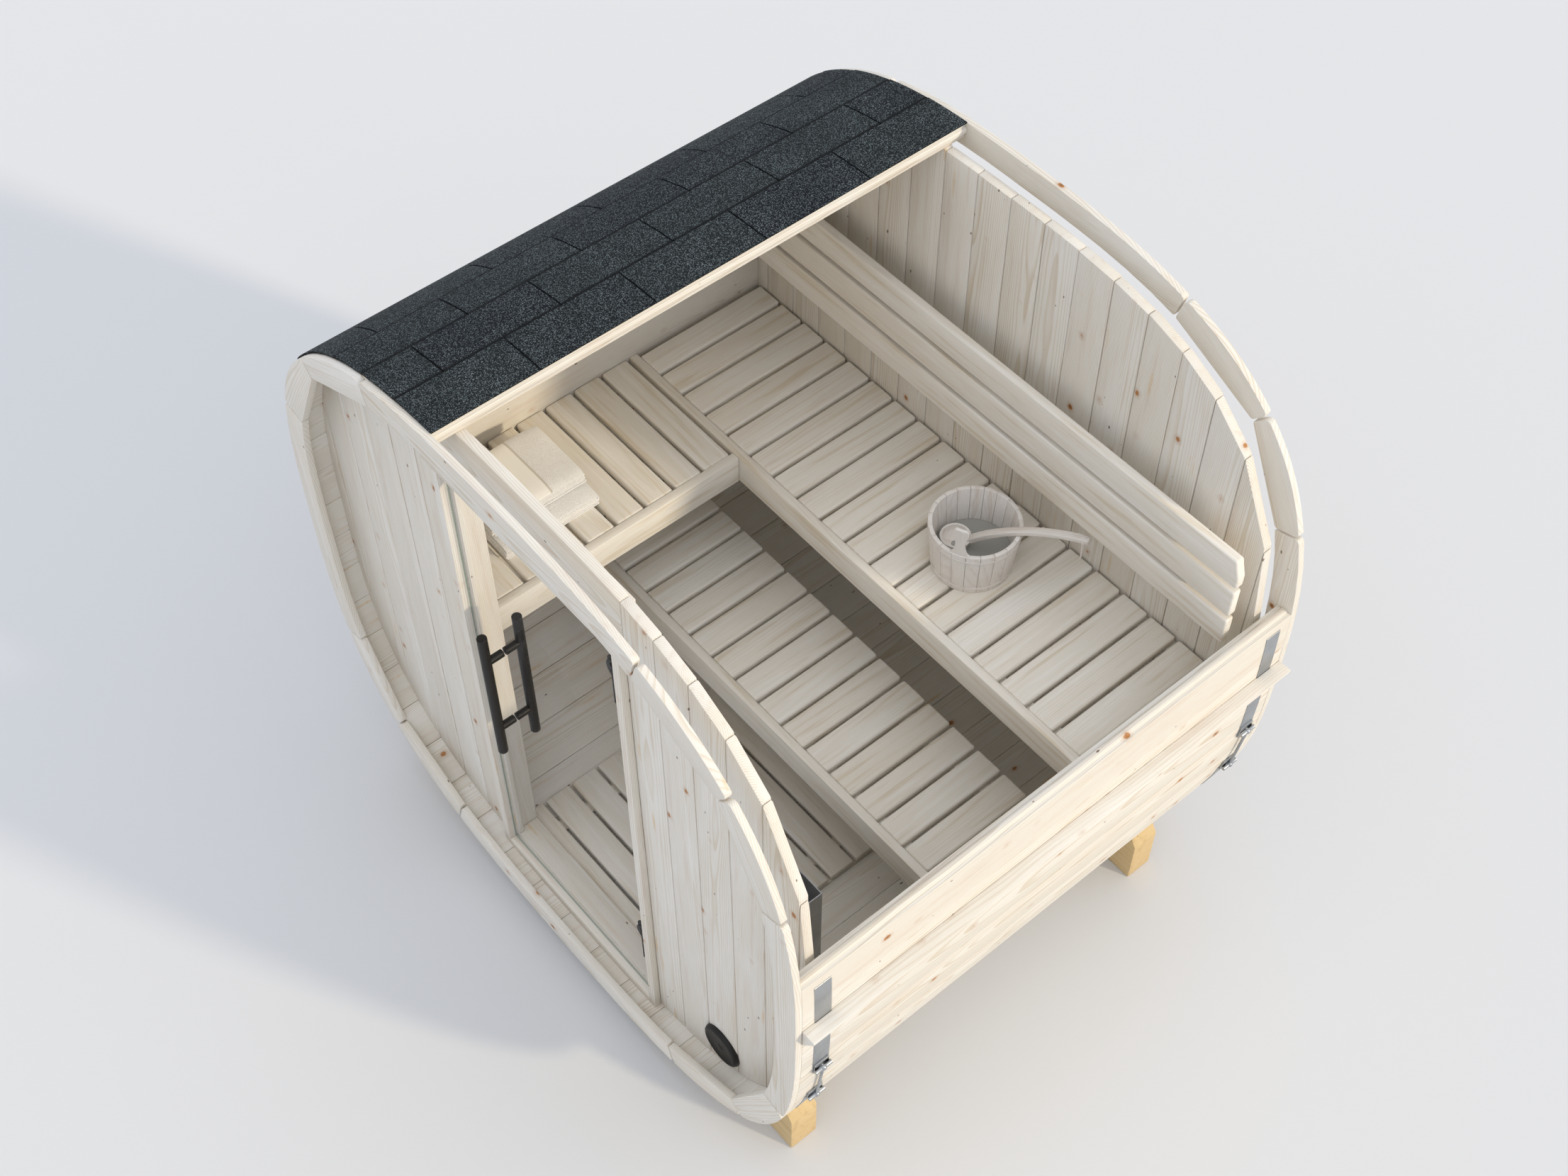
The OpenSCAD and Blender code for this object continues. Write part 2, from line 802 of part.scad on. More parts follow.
module bench_ledgers() {
    upper_in = upper_face + beam_t + fit_gap;
    lower_in = lower_face + beam_t + fit_gap;
    color(bench_wood) {
        ledger(-half_w, half_w, upper_in, upper_in + ledger_w, -upper_drop);
        ledger(-half_w, half_w, back_in - ledger_w - fit_gap, back_in - fit_gap, -upper_drop);
        ledger(-half_w, half_w, lower_in, lower_in + ledger_w, -lower_drop);
        ledger(-half_w, half_w, lower_face + lower_depth - 2 * ledger_w, lower_face + lower_depth - ledger_w,
            -lower_drop);
        ledger(-left_in - fit_gap - ledger_w, -left_in - fit_gap, front_in + fit_gap, upper_face - slat_gap,
            -upper_drop);
        ledger(-half_w, stave_t + ledger_w - half_w, front_in + fit_gap, upper_face - slat_gap, -upper_drop);
    }
}

// Backrest: three rails on brackets at the back wall
rail_count = 3;
rail_pitch = rail_h + rail_gap;
bracket_face = back_in - fit_gap - bracket_d;
bracket_shares = [-0.43, 0.03, 0.43];
rail_len = barrel_w - 2 * (stave_t + rail_clear);

module backrest_rails() {
    color(bench_wood)
        in_room(front_in, back_in)
            for (i = [0 : rail_count - 1])
                block(-rail_len / 2, rail_len / 2, bracket_face - fit_gap - rail_t, bracket_face - fit_gap,
                    rail_top - i * rail_pitch - rail_h, rail_top - i * rail_pitch);
}

module backrest_brackets() {
    low = rail_top - rail_count * rail_pitch + rail_gap;
    high = rail_top - rail_pitch - rail_h / 2;
    color(bench_wood)
        for (share = bracket_shares)
            translate([share * rail_len, 0, 0])
                block(-bracket_w / 2, bracket_w / 2, bracket_face, back_in - fit_gap, low, high);
}

// Duckboard on two runners
duck_start = lining_end + 2 * fit_gap;
duck_pitch = duck_slat_w + duck_gap;
duck_low = runner_h - floor_low;
runner_w = 40;
runner_share = 0.38;

module duckboard() {
    duck_len = duck_first_w + (duck_slats - 1) * duck_pitch;
    color(bench_wood) {
        block(-duck_w / 2, duck_w / 2, duck_start, duck_start + duck_first_w, duck_low, duck_low + duck_t);
        for (i = [1 : duck_slats - 1])
            block(-duck_w / 2, duck_w / 2, duck_start + duck_first_w + i * duck_pitch - duck_slat_w,
                duck_start + duck_first_w + i * duck_pitch, duck_low, duck_low + duck_t);
        for (side = [-1, 1])
            translate([side * runner_share * duck_w, 0, 0])
                intersection() {
                    translate([-side * runner_share * duck_w, 0, 0])
                        room(duck_start, duck_start + duck_len);
                    block(-runner_w / 2, runner_w / 2, duck_start, duck_start + duck_len, -half_h, duck_low);
                }
    }
}

// Heater, a steel case hung on the front wall with an open stone well
heater_side = lining_out + heater_in;
heater_drop = shell_z(heater_side + heater_w) - stave_t - heater_rise - heater_h;

module heater_hollow(y0, z0, z1) {
    inner_d = heater_d - 2 * heater_sheet;
    block(heater_side + heater_sheet, heater_side + heater_w - heater_sheet, y0, y0 + inner_d, z0, z1);
}

module heater_case() {
    y0 = front_in + fit_gap;
    color("#8d9094")
        difference() {
            block(heater_side, heater_side + heater_w, y0, y0 + heater_d, -heater_drop - heater_h, -heater_drop);
            heater_hollow(y0 + heater_sheet, -heater_drop - heater_well, -heater_drop + overrun);
            heater_hollow(y0 + heater_sheet, -heater_drop - heater_h - overrun,
                -heater_drop - heater_well - heater_sheet);
        }
}

// Bucket with one raised stave as its grip, on the upper bench
bucket_x = 223;
bucket_back = 244;
bucket_turn = -64;
bucket_floor = 16;
grip_in = 3;
grip_t = 8;
grip_foot = 4;
bench_top = barrel_z - upper_drop + fit_gap;

module grip_outline() {
    waist_share = 0.3;
    neck_share = 0.45;
    polygon([[-grip_w / 2, -grip_foot], [grip_w / 2, -grip_foot], [grip_w / 2, 0],
             [waist_share * grip_w, neck_share * grip_h], [grip_w / 2, grip_h],
             [-grip_w / 2, grip_h], [-waist_share * grip_w, neck_share * grip_h], [-grip_w / 2, 0]]);
}

module bucket() {
    color("#d9cdc0")
        translate([bucket_x, back_in - bucket_back, bench_top]) {
            rotate_extrude()
                polygon([[0, 0], [bucket_base_d / 2, 0], [bucket_d / 2, bucket_h],
                         [bucket_d / 2 - bucket_wall, bucket_h],
                         [bucket_base_d / 2 - bucket_wall, bucket_floor], [0, bucket_floor]]);
            rotate([0, 0, bucket_turn])
                translate([bucket_d / 2 - grip_in - grip_t, 0, bucket_h])
                    rotate([90, 0, 90])
                        linear_extrude(height = grip_t)
                            grip_outline();
        }
}

// Ladle in the bucket, its bowed handle lying over the rim
ladle_turn = 30;
ladle_tilt = 25;
ladle_wall = 6;
ladle_in = 150;
ladle_bend = 450;
ladle_steps = 12;
ladle_low = ladle_tilt - ladle_len / ladle_bend * 180 / PI;
ladle_high = ladle_tilt + ladle_in / ladle_bend * 180 / PI;
ladle_hub = ladle_bend - ladle_t / 2 - fit_gap;

// Point of the handle's bow: its lean from upright and its distance from the bow's centre
function ladle_pt(lean, away) =
    [ladle_hub * sin(ladle_tilt) - away * sin(lean), away * cos(lean) - ladle_hub * cos(ladle_tilt)];

function ladle_lean(i) = ladle_low + (ladle_high - ladle_low) * i / ladle_steps;

module ladle() {
    tip = ladle_pt(ladle_high, ladle_bend);
    color("#cfc3b4")
        translate([bucket_x, back_in - bucket_back, bench_top + bucket_h])
            rotate([0, 0, ladle_turn])
                translate([bucket_d / 2 - bucket_wall, 0, 0]) {
                    translate([0, ladle_w / 2, 0])
                        rotate([90, 0, 0])
                            linear_extrude(height = ladle_w)
                                polygon(concat(
                                    [for (i = [0:ladle_steps]) ladle_pt(ladle_lean(i), ladle_bend + ladle_t / 2)],
                                    [for (i = [ladle_steps:-1:0])
                                        ladle_pt(ladle_lean(i), ladle_bend - ladle_t / 2)]));
                    translate([tip[0] - (ladle_bowl_d - ladle_wall) / 2, 0, tip[1]])
                        ladle_bowl();
                }
}

module ladle_bowl() {
    difference() {
        sphere(d = ladle_bowl_d);
        sphere(d = ladle_bowl_d - 2 * ladle_wall);
        translate([-ladle_bowl_d, -ladle_bowl_d, 0])
            cube([2 * ladle_bowl_d, 2 * ladle_bowl_d, ladle_bowl_d]);
    }
}

// Two folded towels, stacked on the left bench
towel_in = 100;
towel_x = half_w - stave_t - towel_in;
towel_front = 222;

module towel(width, level) {
    color("#e8e4de")
        translate([-towel_x, front_in + towel_front, bench_top + level])
            cube([width, towel_len, towel_t]);
}

module towel_lower() { towel(towel_w, 0); }
module towel_upper() { towel(towel_top_w, towel_t + fit_gap); }

cradle_front();
cradle_back();
floor_staves();
right_corner_staves();
right_side_staves();
left_corner_staves();
left_side_staves();
left_shoulder_staves();
roof_staves();
roof_shingles();
front_wall_left();
front_wall_right();
front_wall_header();
back_wall();
front_ring();
back_ring();
batten_left();
batten_right();
strap_front();
strap_back();
strap_tensioners();
door_jamb_left();
door_jamb_right();
door_head();
door_sill();
hinge_plates();
door_glass();
door_handle();
door_hinges();
vent_cover();
upper_bench_beam();
upper_bench_slats();
left_bench_beam();
left_bench_slats();
lower_bench_beam();
lower_bench_slats();
bench_ledgers();
backrest_rails();
backrest_brackets();
duckboard();
heater_case();
bucket();
ladle();
towel_lower();
towel_upper();
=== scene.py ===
import logging
import math
import random
from dataclasses import dataclass, field
from enum import Enum
from functools import lru_cache
from typing import Dict, List, Optional, Sequence, Set, Tuple, Union

import bmesh
import bpy
import numpy as np
from mathutils import Matrix, Vector


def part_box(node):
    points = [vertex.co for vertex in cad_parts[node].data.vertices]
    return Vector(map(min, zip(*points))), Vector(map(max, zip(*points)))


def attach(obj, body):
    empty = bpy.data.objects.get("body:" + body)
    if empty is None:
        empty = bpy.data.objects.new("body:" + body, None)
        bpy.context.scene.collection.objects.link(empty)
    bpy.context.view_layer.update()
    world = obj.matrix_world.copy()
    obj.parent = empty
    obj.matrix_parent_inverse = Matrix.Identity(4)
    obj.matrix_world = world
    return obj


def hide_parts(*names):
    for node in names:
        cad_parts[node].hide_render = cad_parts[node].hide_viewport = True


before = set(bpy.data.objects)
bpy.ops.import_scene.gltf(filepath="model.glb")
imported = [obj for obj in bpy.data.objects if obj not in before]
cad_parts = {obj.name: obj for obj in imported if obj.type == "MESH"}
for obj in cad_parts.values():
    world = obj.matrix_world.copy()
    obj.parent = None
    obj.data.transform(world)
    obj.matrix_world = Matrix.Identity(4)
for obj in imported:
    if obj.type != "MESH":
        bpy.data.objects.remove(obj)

LOG = logging.getLogger("sauna")
Rgb = Tuple[int, int, int]
Pair = Tuple[float, float]
Pairs = Tuple[Pair, ...]
Solid = bmesh.types.BMesh
Value = Union["Sock", float, Sequence[float]]
X_AXIS = Vector((1, 0, 0))
Y_AXIS = Vector((0, 1, 0))
Z_AXIS = Vector((0, 0, 1))
SEED = 20
SMOOTH_BELOW = math.radians(34)
HARD_EDGE = math.radians(25)
FLAT_BELOW = math.radians(0.4)
WELD = 2e-5
SHORT_EDGE = 0.0006
GRAIN_LEAN = 0.03
GRAIN_HEART = (0.035, 0.11)
GRAIN_SHIFT = 60.0


def linear(rgb: Rgb) -> Tuple[float, float, float, float]:
    """Turns an sRGB colour into the linear colour that shaders take.

    Args:
        rgb: Red, green and blue from 0 to 255.

    Returns:
        Linear red, green, blue and an alpha of one.
    """
    parts = [c / 255 for c in rgb]
    flat = [c / 12.92 if c <= 0.04045 else ((c + 0.055) / 1.055) ** 2.4 for c in parts]
    return (flat[0], flat[1], flat[2], 1.0)


class Sock:
    """A shader socket that takes part in arithmetic."""

    def __init__(self, graph: "Graph", socket: bpy.types.NodeSocket) -> None:
        """Keeps the graph and the output socket."""
        self.graph = graph
        self.socket = socket

    def __add__(self, other: Value) -> "Sock":
        """Sum."""
        return self.graph.math("ADD", self, other)

    __radd__ = __add__

    def __mul__(self, other: Value) -> "Sock":
        """Product."""
        return self.graph.math("MULTIPLY", self, other)

    __rmul__ = __mul__

    def __sub__(self, other: Value) -> "Sock":
        """Difference."""
        return self.graph.math("SUBTRACT", self, other)

    def __rsub__(self, other: Value) -> "Sock":
        """Difference with this socket on the right."""
        return self.graph.math("SUBTRACT", other, self)


class Graph:
    """One material's node tree, built by calls."""

    def __init__(self, name: str) -> None:
        """Starts an empty material.

        Args:
            name: The material's name.
        """
        self.material = bpy.data.materials.new(name)
        self.material.use_nodes = True
        self.tree = self.material.node_tree
        self.tree.nodes.clear()

    def node(self, kind: str, out: Union[int, str], settings: Optional[Dict[str, object]] = None,
             sockets: Optional[Dict[Union[int, str], Value]] = None) -> Sock:
        """Adds any node.

        Args:
            kind: The node's type.
            out: Name or number of the output to return.
            settings: Attributes to set on the node.
            sockets: Values or links for its inputs, by name or number.

        Returns:
            The chosen output.
        """
        made = self.tree.nodes.new(kind)
        for key, value in (settings or {}).items():
            setattr(made, key, value)
        for key, value in (sockets or {}).items():
            if isinstance(value, Sock):
                self.tree.links.new(value.socket, made.inputs[key])
            else:
                made.inputs[key].default_value = value
        return Sock(self, made.outputs[out])

    def math(self, op: str, a: Value, b: Value = 0.0) -> Sock:
        """A Math node."""
        return self.node("ShaderNodeMath", 0, {"operation": op}, {0: a, 1: b})

    def stretch(self, grain: Sock, scale: Pair) -> Sock:
        """Scales a grain vector along the grain and across it."""
        by = (scale[0], scale[1], scale[1])
        return self.node("ShaderNodeVectorMath", 0, {"operation": "MULTIPLY"}, {0: grain, 1: by})

    def mix(self, share: Value, a: Value, b: Value) -> Sock:
        """Mixes two colours."""
        return self.node("ShaderNodeMix", 2, {"data_type": "RGBA"}, {0: share, 6: a, 7: b})

    def ramp(self, value: Value, low: float, high: float) -> Sock:
        """Rises smoothly from 0 at low to 1 at high."""
        return self.node("ShaderNodeMapRange", 0, {"interpolation_type": "SMOOTHSTEP"},
                         {"Value": value, "From Min": low, "From Max": high, "To Min": 0.0, "To Max": 1.0})

    def fall(self, value: Value, low: float, high: float) -> Sock:
        """Falls smoothly from 1 at low to 0 at high."""
        return 1.0 - self.ramp(value, low, high)

    def noise(self, vector: Sock, scale: float = 1.0, detail: float = 2.0) -> Sock:
        """A noise texture's value."""
        return self.node("ShaderNodeTexNoise", 0, {}, {"Vector": vector, "Scale": scale, "Detail": detail})

    def cells(self, vector: Sock, scale: float = 1.0) -> Tuple[Sock, Sock]:
        """A Voronoi texture.

        Args:
            vector: Where it is read.
            scale: Cells per unit.

        Returns:
            Distance to the nearest point, and a random number of its cell.
        """
        near = self.node("ShaderNodeTexVoronoi", "Distance", {}, {"Vector": vector, "Scale": scale})
        tint = self.tree.nodes[-1].outputs["Color"]
        return near, self.node("ShaderNodeSeparateColor", 0, {}, {0: Sock(self, tint)})

    def named(self, name: str, out: str) -> Sock:
        """A mesh attribute."""
        return self.node("ShaderNodeAttribute", out, {"attribute_name": name})

    def place(self) -> Sock:
        """The point in the object's own frame."""
        return self.node("ShaderNodeTexCoord", "Object")

    def bump(self, height: Sock, distance: float, strength: float) -> Sock:
        """A normal from a height."""
        return self.node("ShaderNodeBump", 0, {},
                         {"Height": height, "Distance": distance, "Strength": strength})

    def finish(self, sockets: Dict[str, Value]) -> bpy.types.Material:
        """Closes the material with a principled shader.

        Args:
            sockets: Values or links of the shader's inputs.

        Returns:
            The material.
        """
        shader = self.node("ShaderNodeBsdfPrincipled", 0, {}, sockets)
        output = self.tree.nodes.new("ShaderNodeOutputMaterial")
        self.tree.links.new(shader.socket, output.inputs["Surface"])
        return self.material


@dataclass(frozen=True)
class Wood:
    """Sawn softwood with growth rings, knots and dark flecks, read from the grain attribute.

    Each scale counts features per metre, along the grain and across it.
    """

    name: str
    early: Rgb
    late: Rgb
    knot: Rgb
    pale: Rgb
    ring_rate: float = 230.0
    ring_share: float = 0.62
    knot_from: float = 0.3
    fleck_from: float = 0.2
    streak: float = 0.2
    resin: float = 0.0
    rough: float = 0.62
    sap: Rgb = (212, 172, 104)
    ink_share: float = 0.55
    drift_scale: Pair = (1.4, 5.0)
    fibre_scale: Pair = (14.0, 700.0)
    cloud_scale: Pair = (2.0, 9.0)
    vein_scale: Pair = (3.0, 55.0)
    knot_scale: Pair = (8.0, 11.0)
    fleck_scale: Pair = (12.0, 24.0)
    sap_scale: Pair = (3.0, 26.0)

    def material(self) -> bpy.types.Material:
        """Builds the material.

        Returns:
            The material.
        """
        g = Graph(self.name)
        early, late, knot, pale = (linear(c) for c in (self.early, self.late, self.knot, self.pale))
        ink = linear(tuple(int(c * self.ink_share) for c in self.knot))
        grain = g.named("grain", "Vector")
        tone = g.named("tone", "Fac")
        drift = g.noise(g.stretch(grain, self.drift_scale)) - 0.5
        fibre = g.noise(g.stretch(grain, self.fibre_scale), detail=1.0)
        cloud = g.noise(g.stretch(grain, self.cloud_scale))
        vein = g.noise(g.stretch(grain, self.vein_scale), detail=3.0)
        rag = g.noise(grain, 90.0) - 0.5
        # Growth rings round a heart that lies beside the board.
        across, deep = (g.node("ShaderNodeSeparateXYZ", i, {}, {0: grain}) for i in (1, 2))
        across = across + drift * 0.035
        deep = deep + drift * 0.02
        saw = g.math("FRACT", g.math("SQRT", across * across + deep * deep) * self.ring_rate)
        ring = g.ramp(saw, 0.45, 0.9) * g.fall(saw, 0.92, 1.0)
        # Knots with a halo, small flecks and streaks of sap.
        near, pick = g.cells(g.stretch(grain, self.knot_scale))
        chosen = g.ramp(pick, self.knot_from, self.knot_from + 0.02)
        core = g.fall(near + rag * 0.06, 0.06, 0.095) * chosen
        halo = g.fall(near + rag * 0.08, 0.07, 0.2) * chosen
        spot, chance = g.cells(g.stretch(grain, self.fleck_scale))
        fleck = g.fall(spot + rag * 0.1 + chance * 0.06, 0.07, 0.1)
        fleck = fleck * g.ramp(chance, self.fleck_from, self.fleck_from + 0.02)
        seam, odds = g.cells(g.stretch(grain, self.sap_scale))
        sap = g.fall(seam + rag * 0.16 + vein * 0.1, 0.08, 0.24) * g.ramp(odds, 0.4, 0.9)
        body = g.mix(ring * self.ring_share * (0.35 + cloud * 0.9), early, late)
        for share, tint in ((g.ramp(cloud, 0.45, 0.75) * 0.45 + tone * 0.35, pale),
                            ((fibre - 0.5) * 0.5 + 0.1, late),
                            (g.ramp(vein, 0.52, 0.72) * self.streak, knot),
                            (g.fall(vein, 0.3, 0.46) * self.streak, pale),
                            (sap * self.resin, linear(self.sap)),
                            (halo * 0.26, knot),
                            (core * 0.95, g.mix(g.ramp(near + pick * 0.04, 0.03, 0.07), ink, knot)),
                            (fleck * 0.8, ink)):
            body = g.mix(share, body, tint)
        height = fibre * 0.5 + ring * 0.4 - fleck * 0.8
        return g.finish({"Base Color": body, "Roughness": self.rough + (fibre - 0.5) * 0.18 - core * 0.15,
                         "Normal": g.bump(height, 0.0006, 0.45), "Specular IOR Level": 0.32})


@dataclass(frozen=True)
class Shingle:
    """Bitumen shingles with pale granules, and a painted shadow under each course."""

    name: str = "shingle_granules"
    dark: Rgb = (13, 17, 22)
    green: Rgb = (23, 29, 30)
    speck: Rgb = (146, 158, 160)
    shadow: Rgb = (6, 7, 9)
    granules: float = 620.0

    def material(self) -> bpy.types.Material:
        """Builds the material.

        Returns:
            The material.
        """
        g = Graph(self.name)
        spot = g.place()
        tone = g.named("tone", "Fac")
        near, pick = g.cells(spot, self.granules)
        broad = g.noise(spot, 7.0, 3.0)
        body = g.mix(g.ramp(tone, 0.35, 0.8) * 0.8, linear(self.dark), linear(self.green))
        body = g.mix(g.ramp(pick, 0.68, 1.0) * (0.2 + broad * 0.65), body, linear(self.speck))
        # Painted shadow: marked rows, just under each course's butt edge and on the felt, take the near-black
        # shadow colour.
        body = g.mix(g.named("mark", "Fac") * 0.92, body, linear(self.shadow))
        return g.finish({"Base Color": body, "Roughness": 0.86 - pick * 0.12, "Specular IOR Level": 0.2,
                         "Normal": g.bump(near, 0.0012, 0.6)})


@dataclass(frozen=True)
class Metal:
    """Bare or coated metal with a fine grain."""

    name: str
    colour: Rgb
    dull: Rgb
    metallic: float
    rough: float
    gloss: float = 0.5
    brush: float = 160.0

    def material(self) -> bpy.types.Material:
        """Builds the material.

        Returns:
            The material.
        """
        g = Graph(self.name)
        spot = g.place()
        line = g.noise(spot, self.brush)
        stain = g.noise(spot, 9.0, 3.0)
        body = g.mix(g.ramp(stain, 0.42, 0.72) * 0.6, linear(self.colour), linear(self.dull))
        return g.finish({"Base Color": body, "Metallic": self.metallic, "Specular IOR Level": self.gloss,
                         "Roughness": self.rough + (line - 0.5) * 0.22,
                         "Normal": g.bump(line, 0.0002, 0.35)})


@dataclass(frozen=True)
class Glass:
    """Clear pane with a green polished edge."""

    name: str = "clear_pane"
    tint: Rgb = (26, 34, 34)
    edge: Rgb = (92, 128, 118)

    def material(self) -> bpy.types.Material:
        """Builds the material.

        Returns:
            The material.
        """
        g = Graph(self.name)
        rim = g.named("rim", "Fac")
        view = g.node("ShaderNodeLayerWeight", "Fresnel", {}, {"Blend": 0.25})
        smear = g.noise(g.place(), 6.0)
        alpha = 0.016 + view * 0.07 + rim * 0.5 + g.ramp(smear, 0.55, 0.8) * 0.008
        return g.finish({"Base Color": g.mix(rim, linear(self.tint), linear(self.edge)), "Alpha": alpha,
                         "Roughness": 0.03 + g.ramp(smear, 0.5, 0.8) * 0.04, "IOR": 1.5})


@dataclass(frozen=True)
class Stone:
    """Dark split heater stones."""

    name: str = "heater_stone"
    dark: Rgb = (66, 66, 68)
    pale: Rgb = (128, 126, 122)

    def material(self) -> bpy.types.Material:
        """Builds the material.

        Returns:
            The material.
        """
        g = Graph(self.name)
        grit = g.noise(g.place(), 160.0, 4.0)
        share = g.ramp(grit + g.named("tone", "Fac") * 0.5 - 0.25, 0.3, 0.8)
        return g.finish({"Base Color": g.mix(share, linear(self.dark), linear(self.pale)),
                         "Roughness": 0.78 + grit * 0.15, "Normal": g.bump(grit, 0.002, 0.6)})


@dataclass(frozen=True)
class Terry:
    """White looped towelling with a plain woven band near its end, and painted shade between its loops and in
    its folds.
    """

    name: str = "terry_cloth"
    pile: Rgb = (250, 249, 247)
    pit_shade: Rgb = (222, 219, 214)
    band: Rgb = (247, 244, 236)
    stitch: Rgb = (188, 176, 156)
    band_end: float = 0.2
    loops: float = 520.0

    def material(self) -> bpy.types.Material:
        """Builds the material.

        Returns:
            The material.
        """
        g = Graph(self.name)
        spot = g.place()
        loop, pick = g.cells(spot, self.loops)
        fold = g.noise(spot, 24.0, 3.0)
        reach = g.named("mark", "Fac")
        plain = g.fall(reach, self.band_end - 0.003, self.band_end)
        seam = g.fall(g.math("ABSOLUTE", reach - self.band_end), 0.0015, 0.0045)
        nap = 1.0 - plain
        # Painted shade: the colour darkens between the loops and in broad fold blotches.
        body = g.mix(nap * g.ramp(loop, 0.25, 0.75) * 0.7 + g.ramp(fold, 0.5, 0.8) * 0.2,
                     linear(self.pile), linear(self.pit_shade))
        body = g.mix(plain * 0.7, body, linear(self.band))
        body = g.mix(seam * 0.6, body, linear(self.stitch))
        return g.finish({"Base Color": body, "Roughness": 0.92 - pick * 0.05, "Sheen Weight": 0.35,
                         "Normal": g.bump(nap * (1.0 - loop) + fold * 0.8 - seam, 0.0018, 0.6)})


@dataclass(frozen=True)
class Cord:
    """Twisted pale string, with painted shade in the grooves between its strands."""

    name: str = "pale_string"
    strand: Rgb = (252, 247, 241)
    gap: Rgb = (222, 210, 197)
    twists: float = 120.0

    def material(self) -> bpy.types.Material:
        """Builds the material.

        Returns:
            The material.
        """
        g = Graph(self.name)
        twist = g.node("ShaderNodeTexWave", 0, {"bands_direction": "DIAGONAL"},
                       {"Vector": g.place(), "Scale": self.twists})
        # Painted shade: the grooves between the twisted strands take the darker gap colour.
        return g.finish({"Base Color": g.mix(g.ramp(twist, 0.2, 0.8), linear(self.gap), linear(self.strand)),
                         "Roughness": 0.85 + twist * 0.1, "Normal": g.bump(twist, 0.0006, 0.6)})


@dataclass(frozen=True)
class Water:
    """Still water in the bucket, with a painted sky reflection at grazing view."""

    name: str = "bucket_water"
    deep: Rgb = (150, 146, 136)
    sky_reflection: Rgb = (196, 204, 208)

    def material(self) -> bpy.types.Material:
        """Builds the material.

        Returns:
            The material.
        """
        g = Graph(self.name)
        wave = g.noise(g.place(), 26.0)
        view = g.node("ShaderNodeLayerWeight", "Facing", {}, {"Blend": 0.4})
        # Painted reflection: the colour turns from the deep colour to a pale sky colour as the view grazes
        # the surface.
        return g.finish({"Base Color": g.mix(view, linear(self.deep), linear(self.sky_reflection)), "IOR": 1.33,
                         "Roughness": 0.04 + wave * 0.04, "Normal": g.bump(wave, 0.002, 0.5)})


@dataclass(frozen=True)
class Floor:
    """Plain pale studio floor."""

    name: str = "studio_floor"
    colour: Rgb = (214, 214, 214)
    haze: float = 0.985

    def material(self) -> bpy.types.Material:
        """Builds the material.

        Returns:
            The material.
        """
        g = Graph(self.name)
        near = linear(self.colour)
        far = tuple(c * self.haze for c in near[:3]) + (1.0,)
        return g.finish({"Base Color": g.mix(g.noise(g.place(), 0.6), near, far), "Roughness": 0.9,
                         "Specular IOR Level": 0.1})


Look = Union[Wood, Shingle, Metal, Glass, Stone, Terry, Cord, Water]


class Finish(Enum):
    """The finishes, each with the record's material slot."""

    SPRUCE = ("spruce", Wood("spruce_white", (226, 221, 211), (196, 178, 148), (172, 114, 56),
                             (234, 232, 227), ring_share=0.75, streak=0.12, resin=0.5))
    BENCH = ("bench_wood", Wood("bench_aspen", (231, 224, 212), (204, 192, 172), (196, 174, 132),
                                (240, 237, 230), ring_share=0.5, knot_from=1.1, fleck_from=0.96, streak=0.4))
    CRADLE = ("cradle_wood", Wood("cradle_pine", (212, 186, 138), (182, 146, 96), (142, 98, 54),
                                  (220, 197, 152)))
    PAIL = ("bucket_wood", Wood("bucket_aspen", (229, 223, 216), (200, 188, 173), (168, 134, 100),
                                (238, 234, 229), ring_share=0.4, knot_from=1.1, fleck_from=1.1))
    SHINGLE = ("shingle", Shingle())
    STRAP = ("strap_steel", Metal("bright_strap", (172, 175, 178), (134, 137, 140), 0.85, 0.36))
    DARK = ("dark_metal", Metal("dark_coating", (33, 31, 29), (25, 24, 23), 0.05, 0.46, 0.25))
    HEATER = ("heater_steel", Metal("brushed_case", (176, 178, 180), (146, 148, 150), 0.75, 0.4))
    GLASS = ("clear_glass", Glass())
    STONE = ("heater_steel", Stone())
    TOWEL = ("towel", Terry())
    WATER = ("bucket_wood", Water())
    CORD = ("towel", Cord())

    def __init__(self, slot: str, look: Look) -> None:
        """Keeps the slot and the look."""
        self.slot = slot
        self.look = look

    @lru_cache(maxsize=None)
    def material(self) -> bpy.types.Material:
        """The look's material, made once."""
        return self.look.material()


class Body(Enum):
    """The CAD bodies that a piece can ride on."""

    CABIN = "cabin"
    DOOR = "door"


class Ends(Enum):
    """How a solid through rows of points is closed."""

    CAPS = "one face at each end"
    STRIPS = "faces between the two halves of each end row"
    JOINED = "the last row joins the first"


